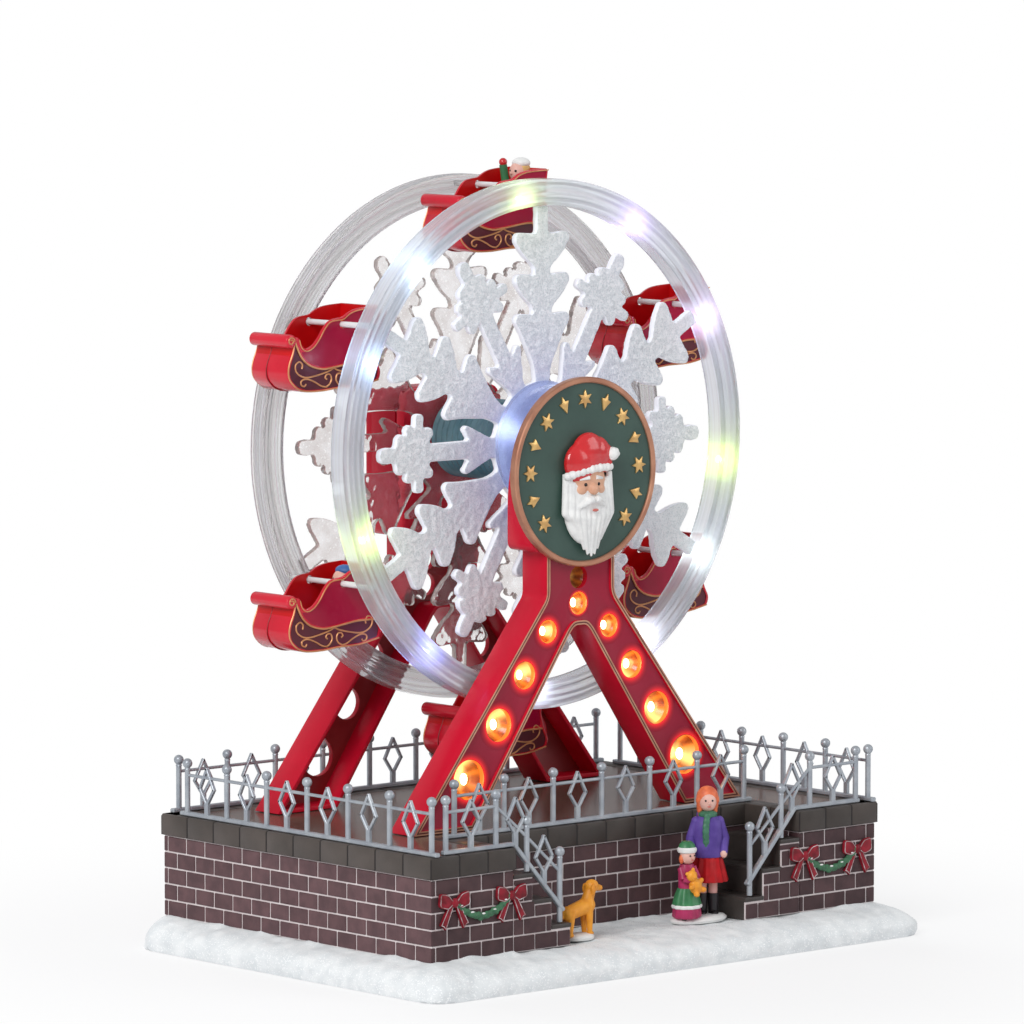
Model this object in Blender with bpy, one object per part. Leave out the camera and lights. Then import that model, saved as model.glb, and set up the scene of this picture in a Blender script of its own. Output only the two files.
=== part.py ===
"""Table-top winter ferris wheel with lights and music, as separate pieces.

Units are metres, +Z is up and the front is -Y. The origin is the middle of the footprint,
on the surface that the snow tray stands on.
"""
import math

import bmesh
import bpy
from mathutils import Matrix, Vector

# Clearances and general wall sizes
GAP = 0.0003
WALL = 0.0016
SHEET = 0.0020

# Snow tray and the brick housing that stands on it
HOUSING_W = 0.2234
HOUSING_D = 0.1537
TRAY_SIDE = 0.0120
TRAY_FRONT = 0.0165
TRAY_BACK = 0.0040
TRAY_H = 0.0115
TRAY_CORNER = 0.0080
TRAY_LAND = 0.0080
BRICK_H = 0.0306
COPING_H = 0.0078
COPING_W = 0.0085
COPING_LIP = 0.0010
RECESS_W = 0.1450
RECESS_D = 0.0300
STEP_RISE = 0.0102
STEP_RUN = 0.0093
STEPS = 3

# Bottom plate, battery bay, speaker, board and switch
PLATE_LIFT = 0.0008
PLATE_T = 0.0020
CELL_R = 0.0071
CELL_L = 0.0500
CELLS = 3
BAY_X = 0.0480
SPEAKER_R = 0.0200
SPEAKER_H = 0.0120
SPEAKER_X = -0.0600
GRILLE_SLOTS = 5
BOARD_W = 0.0340
BOARD_D = 0.0450
BOARD_T = 0.0016
BOARD_X = -0.0120
BOARD_STAND = 0.0040
SWITCH_X = 0.0600
SWITCH_Z = 0.0270
SWITCH_TRAVEL = 0.0050
KNOB_W = 0.0040
KNOB_H = 0.0036
KNOB_PROUD = 0.0018

# Fences
POST_R = 0.00105
BALL_R = 0.0020
BALL_Z = 0.0198
RAIL_TOP_Z = 0.0155
RAIL_TOP_R = 0.00075
RAIL_FOOT_H = 0.0016
RAIL_FOOT_D = 0.0024
DIAMOND_LOW = 0.0050
DIAMOND_MID = 0.0112
DIAMOND_TIP = 0.0190
DIAMOND_HALF = 0.0043
PICKET_BAR = 0.0012
PICKET_STEM = 0.0021
PICKET_T = 0.0014
FENCE_INSET = 0.0016
SIDE_SPACING = 0.0234
SIDE_POSTS = 7
MIDDLE_OVERHANG = 0.0007
MIDDLE_POSTS = 7
BACK_CORNER = 0.0055
BACK_POSTS = 10
WING_CORNER = 0.0083
# Wing fence, measured outwards from the recess's side wall
WING_POSTS = (0.0067, -0.0083, -0.0245)
WING_PICKETS = (-0.0027, -0.0167)
LOW_BALLS = (0.0089, -0.0041)
LOW_RAIL = (0.0028, -0.0115)

# Wheel
WHEEL_BACKSET = 0.0895
AXLE_H = 0.1393
RIM_R = 0.1000
RIM_W = 0.0100
RIM_D = 0.0070
RIM_SPACING = 0.0465
RIM_WALL = 0.0012
RIM_RIBS = 2
RIM_RIB_H = 0.0005
RIM_SEGMENTS = 36
FLAKE_T = 0.0030
HUB_R = 0.0240
LENS_T = 0.0040
BARREL_R = 0.0155
SHAFT_R = 0.0020
ROD_R = 0.0013
ROD_INSET = 0.0035
LAMP_R = 0.0015
LAMP_INSET = 0.0070
LAMP_ANGLES = (-7, 28, 61, 97, 133, 158, 199, 232, 268, 304, 330)
ARMS = 6

# Frames, heads and the drive
FRAME_D = 0.0137
FRAME_GAP = 0.0056
FRAME_WALL = 0.0015
PANEL_T = 0.0023
PANEL_SET = 0.0012
NECK_HALF = 0.0170
HEAD_HALF = 0.0245
HEAD_TOP = 0.0187
HEAD_LOW = 0.0378
HEAD_CORNER = 0.0060
NECK_H = 0.0175
LEG_OUT = 0.785
LEG_IN = 0.690
CROTCH_DROP = 0.0666
CROTCH_HALF = 0.0050
COVER_D = 0.0048
GEAR_MODULE = 0.0010
GEAR_TEETH = 28
PINION_TEETH = 10
GEAR_T = 0.0040
MOTOR_R = 0.0110
PINION_SHAFT_R = 0.0010
SIGN_DROP = 0.0088
SIGN_R = 0.0356
SIGN_T = 0.0028
SIGN_RIM = 0.0022
SIGN_SUNK = 0.0010
BULB_R = 0.0016
# Lamp holes of the front frame: half spread, drop below the axle, radius
LAMP_HOLES = (
    (0.0154, 0.0681, 0.0044),
    (0.0270, 0.0837, 0.0052),
    (0.0399, 0.1013, 0.0062),
    (0.0546, 0.1205, 0.0075),
)
NECK_HOLES = ((0.0, 0.0487, 0.0043), (0.0, 0.0585, 0.0043))

# Sleighs
SLEIGH_W = 0.0210
SLEIGH_BACK = 0.0030
SLEIGH_WALL = 0.0013
ROLL_R = 0.0024

# Figures on the tray: how far their middles stand from the foot of the stairs
PAIR_CLEAR = 0.0143
DOG_CLEAR = 0.0113

# Places that follow from the sizes above
TRAY_D = HOUSING_D + TRAY_FRONT + TRAY_BACK
TRAY_Y0 = -TRAY_D / 2
HALF_W = HOUSING_W / 2
FRONT_Y = TRAY_Y0 + TRAY_FRONT
BACK_Y = FRONT_Y + HOUSING_D
RECESS_Y = FRONT_Y + RECESS_D
HOUSING_Z = TRAY_H + GAP
COPING_Z = HOUSING_Z + BRICK_H + GAP
DECK_Z = COPING_Z + COPING_H
WHEEL_Y = FRONT_Y + WHEEL_BACKSET
AXLE_Z = DECK_Z + AXLE_H
RIM_Y = RIM_SPACING / 2
ROD_AT = RIM_R - ROD_INSET
LAMP_AT = RIM_R - LAMP_INSET
ARM_L = RIM_R - RIM_W - HUB_R
FRAME_IN = RIM_Y + RIM_D / 2 + FRAME_GAP
FRAME_OUT = FRAME_IN + FRAME_D
PANEL_OUT = FRAME_OUT - PANEL_SET
PANEL_IN = PANEL_OUT - PANEL_T
BORE_R = SHAFT_R + GAP
GEAR_R = GEAR_MODULE * GEAR_TEETH / 2
PINION_R = GEAR_MODULE * PINION_TEETH / 2
GEAR_DROP = GEAR_R + PINION_R


def clear_scene():
    """Remove whatever the file opened with."""
    for old in list(bpy.data.objects):
        bpy.data.objects.remove(old, do_unlink=True)


def paint(name, colour, roughness, metallic=0.0, alpha=1.0):
    """Return a Principled material."""
    material = bpy.data.materials.new(name)
    material.use_nodes = True
    shader = material.node_tree.nodes["Principled BSDF"]
    shader.inputs["Base Color"].default_value = (*colour, 1.0)
    shader.inputs["Roughness"].default_value = roughness
    shader.inputs["Metallic"].default_value = metallic
    shader.inputs["Alpha"].default_value = alpha
    return material


def pivot(name, at, parent=None):
    """Return an empty that marks a joint's axis."""
    empty = bpy.data.objects.new(name, None)
    bpy.context.scene.collection.objects.link(empty)
    empty.location = at
    empty.parent = parent
    return empty


def node(name, bm, material, parent=None, at=(0.0, 0.0, 0.0)):
    """Make one named piece from a bmesh whose coordinates are local to its origin."""
    bmesh.ops.remove_doubles(bm, verts=bm.verts, dist=0.000001)
    bmesh.ops.dissolve_limit(bm, angle_limit=math.radians(0.2), verts=bm.verts, edges=bm.edges)
    mesh = bpy.data.meshes.new(name)
    bm.to_mesh(mesh)
    bm.free()
    mesh.materials.append(material)
    mesh.shade_smooth()
    mesh.set_sharp_from_angle(angle=math.radians(35))
    piece = bpy.data.objects.new(name, mesh)
    bpy.context.scene.collection.objects.link(piece)
    piece.parent = parent
    piece.location = at
    return piece


def combine(body, tools, operation):
    """Join or cut a body with each tool in turn, and return the result."""
    guides = []
    for shape in [body, *tools]:
        mesh = bpy.data.meshes.new("guide")
        shape.to_mesh(mesh)
        shape.free()
        guide = bpy.data.objects.new("guide", mesh)
        guide.hide_render = True
        guide.display_type = "WIRE"
        bpy.context.scene.collection.objects.link(guide)
        guides.append(guide)
    for tool in guides[1:]:
        modifier = guides[0].modifiers.new("cut", "BOOLEAN")
        modifier.operation = operation
        modifier.solver = "EXACT"
        modifier.object = tool
    graph = bpy.context.evaluated_depsgraph_get()
    graph.update()
    result = bmesh.new()
    result.from_mesh(guides[0].evaluated_get(graph).to_mesh())
    for guide in guides:
        bpy.data.objects.remove(guide, do_unlink=True)
    return result


def union(*shapes):
    """Return the shapes joined into one body."""
    return combine(shapes[0], shapes[1:], "UNION")


def cut(body, *tools):
    """Return the body with the tools taken away."""
    return combine(body, tools, "DIFFERENCE")


def group(shapes):
    """Return shapes that don't touch, together in one bmesh."""
    whole = bmesh.new()
    for shape in shapes:
        mesh = bpy.data.meshes.new("part")
        shape.to_mesh(mesh)
        shape.free()
        whole.from_mesh(mesh)
        bpy.data.meshes.remove(mesh)
    return whole


def moved(bm, offset):
    """Shift a bmesh and return it."""
    bmesh.ops.translate(bm, vec=Vector(offset), verts=bm.verts)
    return bm


def turned(bm, degrees, axis):
    """Turn a bmesh about an axis through its origin and return it."""
    bmesh.ops.rotate(bm, verts=bm.verts, matrix=Matrix.Rotation(math.radians(degrees), 3, axis))
    return bm


def mirrored(bm, axis):
    """Mirror a bmesh through its origin and keep its faces pointing out."""
    scale = [1.0, 1.0, 1.0]
    scale["XYZ".index(axis)] = -1.0
    bmesh.ops.scale(bm, vec=Vector(scale), verts=bm.verts)
    bmesh.ops.reverse_faces(bm, faces=bm.faces)
    return bm


def block(low, high):
    """Return a box between two corners."""
    bm = bmesh.new()
    bmesh.ops.create_cube(bm, size=1.0)
    size = [high[i] - low[i] for i in range(3)]
    bmesh.ops.scale(bm, vec=Vector(size), verts=bm.verts)
    return moved(bm, [(high[i] + low[i]) / 2 for i in range(3)])


def prism(outline, low, high):
    """Return an outline in the XZ plane, extruded along Y from low to high."""
    bm = bmesh.new()
    face = bm.faces.new([bm.verts.new((x, low, z)) for x, z in outline])
    grown = bmesh.ops.extrude_face_region(bm, geom=[face])
    tops = [v for v in grown["geom"] if isinstance(v, bmesh.types.BMVert)]
    bmesh.ops.translate(bm, vec=Vector((0.0, high - low, 0.0)), verts=tops)
    bmesh.ops.recalc_face_normals(bm, faces=bm.faces)
    return bm


def slab(outline, low, high):
    """Return an outline in the XY plane, extruded along Z from low to high."""
    bm = prism(outline, -high, -low)
    bmesh.ops.rotate(bm, verts=bm.verts, matrix=Matrix.Rotation(math.radians(-90), 3, "X"))
    return bm


def round_bar(radius, low, high, sides=16, top_radius=None):
    """Return a cylinder or cone along Y."""
    bm = bmesh.new()
    upper = radius if top_radius is None else top_radius
    bmesh.ops.create_cone(bm, cap_ends=True, segments=sides, radius1=radius, radius2=upper,
                          depth=high - low)
    bmesh.ops.rotate(bm, verts=bm.verts, matrix=Matrix.Rotation(math.radians(-90), 3, "X"))
    return moved(bm, (0.0, (low + high) / 2, 0.0))


def upright(radius, low, high, sides=12, top_radius=None):
    """Return a cylinder or cone along Z."""
    bm = round_bar(radius, low, high, sides, top_radius)
    bmesh.ops.rotate(bm, verts=bm.verts, matrix=Matrix.Rotation(math.radians(90), 3, "X"))
    return bm


def ball(radius, sides=8, rings=5):
    """Return a sphere at the origin."""
    bm = bmesh.new()
    bmesh.ops.create_uvsphere(bm, u_segments=sides, v_segments=rings, radius=radius)
    return bm


def egg(size, at, sides=8, rings=5):
    """Return an ellipsoid with the given half sizes."""
    bm = ball(1.0, sides, rings)
    bmesh.ops.scale(bm, vec=Vector(size), verts=bm.verts)
    return moved(bm, at)


def turned_ring(profile, segments):
    """Spin a closed profile of (radius, y) points once round the Y axis."""
    bm = bmesh.new()
    points = [bm.verts.new((radius, y, 0.0)) for radius, y in profile]
    edges = [bm.edges.new((points[i], points[(i + 1) % len(points)])) for i in range(len(points))]
    bmesh.ops.spin(bm, geom=points + edges, cent=(0, 0, 0), axis=(0, 1, 0), dvec=(0, 0, 0),
                   angle=math.tau, steps=segments, use_merge=True)
    bmesh.ops.remove_doubles(bm, verts=bm.verts, dist=0.000001)
    bmesh.ops.recalc_face_normals(bm, faces=bm.faces)
    return bm


def loft(loops):
    """Skin a stack of point loops of equal length and close both ends."""
    bm = bmesh.new()
    rings = [[bm.verts.new(point) for point in loop] for loop in loops]
    count = len(rings[0])
    for lower, upper in zip(rings, rings[1:]):
        for i in range(count):
            j = (i + 1) % count
            bm.faces.new((lower[i], lower[j], upper[j], upper[i]))
    bm.faces.new(rings[0])
    bm.faces.new(rings[-1])
    bmesh.ops.recalc_face_normals(bm, faces=bm.faces)
    return bm


def stack(sections, sides=6):
    """Loft ellipses given as (z, half x, half y, centre x, centre y)."""
    loops = []
    for z, half_x, half_y, x, y in sections:
        turn = [math.tau * (i + 0.5) / sides for i in range(sides)]
        loops.append([(x + half_x * math.cos(a), y + half_y * math.sin(a), z) for a in turn])
    return loft(loops)


def limb(start, end, start_r, end_r, sides=6):
    """Return a tapered round limb between two points."""
    along = Vector(end) - Vector(start)
    bm = bmesh.new()
    bmesh.ops.create_cone(bm, cap_ends=True, segments=sides, radius1=start_r, radius2=end_r,
                          depth=along.length)
    turn = along.to_track_quat("Z", "Y").to_matrix()
    bmesh.ops.rotate(bm, verts=bm.verts, matrix=turn)
    return moved(bm, (Vector(start) + Vector(end)) / 2)


def rounded(x0, x1, y0, y1, radius, steps=4):
    """Return a rectangle with round corners, anticlockwise from its lower left corner."""
    points = []
    centres = ((x0 + radius, y0 + radius, 180), (x1 - radius, y0 + radius, 270),
               (x1 - radius, y1 - radius, 0), (x0 + radius, y1 - radius, 90))
    for x, y, start in centres:
        for i in range(steps + 1):
            a = math.radians(start + 90 * i / steps)
            points.append((x + radius * math.cos(a), y + radius * math.sin(a)))
    return points


def inset(outline, distance):
    """Move each side of an anticlockwise outline inwards, with mitred corners."""
    count = len(outline)
    moved_points = []
    for i in range(count):
        before = Vector(outline[i - 1])
        here = Vector(outline[i])
        after = Vector(outline[(i + 1) % count])
        first = (here - before).normalized()
        second = (after - here).normalized()
        normal_1 = Vector((-first.y, first.x))
        normal_2 = Vector((-second.y, second.x))
        bisector = (normal_1 + normal_2).normalized()
        reach = distance / max(0.2, bisector.dot(normal_1))
        moved_points.append(tuple(here + bisector * reach))
    return moved_points


def rod(start, end, radius):
    """Return a thin three-sided rod between two points of the XZ plane."""
    return limb((start[0], 0.0, start[1]), (end[0], 0.0, end[1]), radius, radius, 3)


def bar(start, end, height, depth):
    """Return a square bar between two points of the XZ plane, centred on Y."""
    a = Vector(start)
    b = Vector(end)
    side = Vector((a.y - b.y, b.x - a.x)).normalized() * height / 2
    corners = [a - side, b - side, b + side, a + side]
    return prism([tuple(c) for c in corners], -depth / 2, depth / 2)


# Colours from the photograph
SNOW = paint("snow", (0.90, 0.92, 0.93), 0.75)
BRICK = paint("brick", (0.16, 0.07, 0.075), 0.65)
COPING = paint("coping", (0.07, 0.06, 0.055), 0.50)
DECK = paint("deck", (0.10, 0.05, 0.03), 0.25)
SILVER = paint("silver", (0.45, 0.47, 0.49), 0.40, 0.3)
CLEAR = paint("clear", (0.85, 0.90, 0.93), 0.12, 0.0, 0.4)
FROST = paint("frost", (0.86, 0.88, 0.92), 0.45, 0.0, 0.8)
RED = paint("red", (0.55, 0.01, 0.02), 0.25)
SLEIGH_RED = paint("sleigh_red", (0.50, 0.01, 0.03), 0.28)
GREEN = paint("green", (0.05, 0.10, 0.08), 0.45)
WHITE = paint("white", (0.80, 0.80, 0.79), 0.45)
BLACK = paint("black", (0.02, 0.02, 0.02), 0.45)
STEEL = paint("steel", (0.50, 0.50, 0.52), 0.30, 1.0)
LAMP = paint("lamp", (1.0, 0.75, 0.45), 0.30)
PURPLE = paint("purple", (0.12, 0.06, 0.35), 0.45)
AMBER = paint("amber", (0.80, 0.35, 0.02), 0.40)
BOARD = paint("board", (0.03, 0.15, 0.07), 0.45)


# Base outline at deck level: two wings either side of a recess, anticlockwise from above
HALF_RECESS = RECESS_W / 2
PLAN = [(-HALF_W, FRONT_Y), (-HALF_RECESS, FRONT_Y), (-HALF_RECESS, RECESS_Y), (HALF_RECESS, RECESS_Y),
        (HALF_RECESS, FRONT_Y), (HALF_W, FRONT_Y), (HALF_W, BACK_Y), (-HALF_W, BACK_Y)]


def opening_outline(margin):
    """Outline of the tray's middle opening, drawn in by a margin."""
    return rounded(-HALF_W + TRAY_LAND + margin, HALF_W - TRAY_LAND - margin,
                   RECESS_Y + TRAY_LAND + margin, BACK_Y - TRAY_LAND - margin, TRAY_CORNER, 2)


def make_snow_tray():
    """A ring of moulded snow: upright skirt, rolled shoulder and a land under the walls."""
    shoulder = ((0.0, 0.0), (0.45, 0.0), (0.75, 0.25), (0.93, 0.60), (1.0, 0.90))
    loops = []
    for height, share in shoulder:
        z = height * TRAY_H
        side = TRAY_SIDE * (1 - share)
        front = TRAY_FRONT * (1 - share)
        back = TRAY_BACK * (1 - share)
        outline = rounded(-HALF_W - side, HALF_W + side, FRONT_Y - front, BACK_Y + back,
                          TRAY_CORNER - 0.5 * TRAY_CORNER * share)
        loops.append([(x, y, z) for x, y in outline])
    rebate = PLATE_LIFT + PLATE_T + GAP
    floor_hole = slab(opening_outline(0.0), -TRAY_H, 2 * TRAY_H)
    plate_seat = slab(opening_outline(-TRAY_LAND / 2), -TRAY_H, rebate)
    node("snow_tray", cut(loft(loops), floor_hole, plate_seat), SNOW)


def make_bottom_plate():
    """Flat cover with the battery bay's hatch opening, speaker slots and board pillars."""
    low = PLATE_LIFT
    high = PLATE_LIFT + PLATE_T
    plate = slab(opening_outline(-TRAY_LAND / 2 + GAP), low, high)
    mid_y = (RECESS_Y + BACK_Y) / 2
    slots = []
    for i in range(GRILLE_SLOTS):
        x = SPEAKER_X + (i - (GRILLE_SLOTS - 1) / 2) * 0.006
        reach = 0.013 - 0.0012 * abs(i - (GRILLE_SLOTS - 1) / 2) ** 2
        slots.append(block((x - 0.0011, mid_y - reach, 0.0), (x + 0.0011, mid_y + reach, 2 * high)))
    hatch = slab(hatch_outline(0.0), 0.0, 2 * high)
    plate = cut(plate, hatch, group(slots))
    pillars = []
    for x in (-1, 1):
        for y in (-1, 1):
            pillar = upright(0.0022, high - GAP, high + BOARD_STAND, 8)
            pillars.append(moved(pillar, (BOARD_X + x * BOARD_W * 0.4, mid_y + y * BOARD_D * 0.4, 0.0)))
    node("bottom_plate", union(plate, group(pillars)), BLACK)
    board_z = high + BOARD_STAND + GAP
    board = block((BOARD_X - BOARD_W / 2, mid_y - BOARD_D / 2, board_z),
                  (BOARD_X + BOARD_W / 2, mid_y + BOARD_D / 2, board_z + BOARD_T))
    chip = block((BOARD_X - 0.006, mid_y - 0.004, board_z + BOARD_T / 2),
                 (BOARD_X + 0.006, mid_y + 0.012, board_z + BOARD_T + 0.002))
    node("circuit_board", union(board, chip), BOARD)
    floor = high + GAP
    cone = [(0.0040, floor + 0.006), (SPEAKER_R * 0.8, floor), (SPEAKER_R, floor),
            (SPEAKER_R, floor + 0.004), (SPEAKER_R * 0.55, floor + SPEAKER_H * 0.7),
            (SPEAKER_R * 0.55, floor + SPEAKER_H),
            (0.0002, floor + SPEAKER_H), (0.0002, floor + 0.0045), (0.0030, floor + 0.0045)]
    speaker = turned_ring(cone, 16)
    bmesh.ops.rotate(speaker, verts=speaker.verts, matrix=Matrix.Rotation(math.radians(90), 3, "X"))
    node("speaker", moved(speaker, (SPEAKER_X, mid_y, 0.0)), BLACK)


def hatch_outline(margin):
    """Outline of the battery hatch in the bottom plate."""
    mid_y = (RECESS_Y + BACK_Y) / 2
    half_x = CELL_L / 2 + 0.003 - margin
    half_y = CELLS * CELL_R + 0.002 - margin
    return rounded(BAY_X - half_x, BAY_X + half_x, mid_y - half_y, mid_y + half_y, 0.002, 2)


def make_battery_bay():
    """Open-bottomed box with three cells lying side by side over their screwed hatch."""
    mid_y = (RECESS_Y + BACK_Y) / 2
    floor = PLATE_LIFT + PLATE_T + GAP
    top = floor + 2 * CELL_R + 2 * GAP
    inner = hatch_outline(GAP)
    outer = hatch_outline(-WALL)
    box = cut(slab(outer, floor, top + WALL), slab(inner, floor - 0.001, top))
    node("battery_box", box, BLACK)
    for i in range(CELLS):
        y = mid_y + (i - (CELLS - 1) / 2) * (2 * CELL_R + GAP)
        can = round_bar(CELL_R, -CELL_L / 2, CELL_L / 2 - 0.0015, 12)
        tip = round_bar(CELL_R * 0.38, CELL_L / 2 - 0.0020, CELL_L / 2, 8)
        cell = turned(union(can, tip), 90 if i % 2 else -90, "Z")
        node(f"battery_{i + 1}", moved(cell, (BAY_X, y, floor + GAP + CELL_R)), STEEL)
    hatch = slab(hatch_outline(GAP), PLATE_LIFT, PLATE_LIFT + PLATE_T)
    grips = []
    for i in range(3):
        x = BAY_X + CELL_L / 2 - 0.006 - i * 0.0025
        grips.append(block((x, mid_y - 0.006, PLATE_LIFT - 0.001),
                           (x + 0.0010, mid_y + 0.006, PLATE_LIFT + 0.0006)))
    node("battery_hatch", cut(hatch, group(grips)), BLACK)


def make_housing():
    """Brick walls as one ring on the tray, with the switch slot in the back wall."""
    top = HOUSING_Z + BRICK_H
    walls = cut(slab(PLAN, HOUSING_Z, top), slab(inset(PLAN, SHEET), HOUSING_Z - 0.01, top + 0.01))
    slot_half = (KNOB_W + SWITCH_TRAVEL) / 2 + GAP
    slot = block((SWITCH_X - slot_half, BACK_Y - 2 * SHEET, SWITCH_Z - KNOB_H / 2 - GAP),
                 (SWITCH_X + slot_half, BACK_Y + SHEET, SWITCH_Z + KNOB_H / 2 + GAP))
    node("brick_housing", cut(walls, slot), BRICK)
    inside = BACK_Y - SHEET - GAP
    body = block((SWITCH_X - 0.0085, inside - 0.0070, SWITCH_Z - 0.0045),
                 (SWITCH_X + 0.0085, inside, SWITCH_Z + 0.0045))
    pocket = block((SWITCH_X - slot_half, inside - 0.0030, SWITCH_Z - KNOB_H / 2 - GAP),
                   (SWITCH_X + slot_half, inside + 0.0010, SWITCH_Z + KNOB_H / 2 + GAP))
    node("switch_body", cut(body, pocket), BLACK)
    knob_x = SWITCH_X - SWITCH_TRAVEL / 2
    slide = pivot("switch_slide", (knob_x, BACK_Y, SWITCH_Z))
    stem = block((-KNOB_W / 2, -SHEET - 0.0027, -KNOB_H / 2), (KNOB_W / 2, KNOB_PROUD, KNOB_H / 2))
    grooves = []
    for i in (-1, 0, 1):
        x = i * 0.0011
        grooves.append(block((x - 0.0002, KNOB_PROUD - 0.0004, -KNOB_H),
                             (x + 0.0002, 2 * KNOB_PROUD, KNOB_H)))
    node("switch_knob", cut(stem, group(grooves)), BLACK, slide)


def make_stairs():
    """Three steps beside each wing, hollow underneath."""
    depth = (FRONT_Y, RECESS_Y - GAP)
    outer = HALF_RECESS - GAP
    foot = outer - STEPS * STEP_RUN
    profile = [(foot, HOUSING_Z)]
    for i in range(STEPS):
        tread = DECK_Z - (STEPS - i) * STEP_RISE
        profile.append((foot + i * STEP_RUN, tread))
        profile.append((foot + (i + 1) * STEP_RUN, tread))
    profile.append((outer, HOUSING_Z))
    profile.reverse()
    hollow = inset(profile, SHEET)
    hollow[0] = (hollow[0][0], HOUSING_Z - 0.005)
    hollow[-1] = (hollow[-1][0], HOUSING_Z - 0.005)
    for name, flip in (("right_stairs", False), ("left_stairs", True)):
        stairs = cut(prism(profile, *depth), prism(hollow, depth[0] + SHEET, depth[1] - SHEET))
        node(name, mirrored(stairs, "X") if flip else stairs, BRICK)


def make_deck():
    """Coping blocks as one ring on the walls, and the floor that drops into it."""
    lip = inset(PLAN, -COPING_LIP)
    inner = inset(PLAN, COPING_W - COPING_LIP)
    ring = cut(slab(lip, COPING_Z, DECK_Z), slab(inner, COPING_Z - 0.01, DECK_Z + 0.01))
    rim_edges = [e for e in ring.edges if all(v.co.z > DECK_Z - 0.0001 and outside(v.co) for v in e.verts)]
    bmesh.ops.bevel(ring, geom=rim_edges, offset=0.0007, segments=1, profile=0.5, affect="EDGES",
                    material=-1)
    node("coping", ring, COPING)
    flange_top = COPING_Z - GAP
    hat = slab(inset(PLAN, COPING_W - COPING_LIP + GAP), flange_top - SHEET, DECK_Z)
    flange = slab(inset(PLAN, SHEET + GAP), flange_top - SHEET, flange_top)
    hollow = slab(inset(PLAN, COPING_W - COPING_LIP + GAP + SHEET), COPING_Z - 0.01, DECK_Z - SHEET)
    node("deck", cut(union(hat, flange), hollow), DECK)


def outside(point):
    """True on the coping's outer faces."""
    edge = COPING_LIP / 2
    wings = abs(point.x) > HALF_RECESS - 2 * COPING_LIP and point.y < RECESS_Y - 2 * COPING_LIP
    recess = point.y < RECESS_Y + edge and abs(point.x) < HALF_RECESS
    return abs(point.x) > HALF_W + edge or point.y > BACK_Y + edge or point.y < FRONT_Y - edge or recess \
        or (wings and abs(point.x) < HALF_RECESS)


def picket(u, foot):
    """A diamond on a flat stem, standing on a rail at height foot."""
    low = foot + DIAMOND_LOW
    mid = foot + DIAMOND_MID
    tip = foot + DIAMOND_TIP
    stem = PICKET_STEM / 2
    outer = [(u, low), (u + DIAMOND_HALF, mid), (u, tip), (u - DIAMOND_HALF, mid)]
    join = low + stem * (mid - low) / DIAMOND_HALF
    whole = [(u - stem, foot + RAIL_FOOT_H / 2), (u + stem, foot + RAIL_FOOT_H / 2), (u + stem, join),
             (u + DIAMOND_HALF, mid), (u, tip), (u - DIAMOND_HALF, mid), (u - stem, join)]
    return cut(prism(whole, -PICKET_T / 2, PICKET_T / 2),
               prism(inset(outer, PICKET_BAR), -PICKET_T, PICKET_T))


def post(u, foot, ball_z):
    """A round post with a ball on top."""
    shaft = turned(upright(POST_R, foot + RAIL_FOOT_H / 4, ball_z, 4), 27, "Z")
    head = ball(BALL_R, 5, 3)
    return union(moved(shaft, (u, 0.0, 0.0)), moved(head, (u, 0.0, ball_z)))


def fence(posts, pickets, foot_rail, top_rail):
    """Join posts, pickets and two rails; u runs along X and the rail foot is at z = 0."""
    rails = []
    for start, end in zip(foot_rail, foot_rail[1:]):
        rails.append(bar(start, end, RAIL_FOOT_H, RAIL_FOOT_D))
    for start, end in zip(top_rail, top_rail[1:]):
        rails.append(rod(start, end, RAIL_TOP_R))
    return union(group([post(*item) for item in posts]), group([picket(*item) for item in pickets]), *rails)


def level_fence(count, spacing, reach=0.0035):
    """A straight fence centred on u = 0."""
    us = [(i - (count - 1) / 2) * spacing for i in range(count)]
    posts = [(u, 0.0, BALL_Z) for u in us]
    pickets = [((a + b) / 2, 0.0) for a, b in zip(us, us[1:])]
    foot = RAIL_FOOT_H / 2
    return fence(posts, pickets, [(us[0] - reach, foot), (us[-1] + reach, foot)],
                 [(us[0], RAIL_TOP_Z), (us[-1], RAIL_TOP_Z)])


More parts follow.
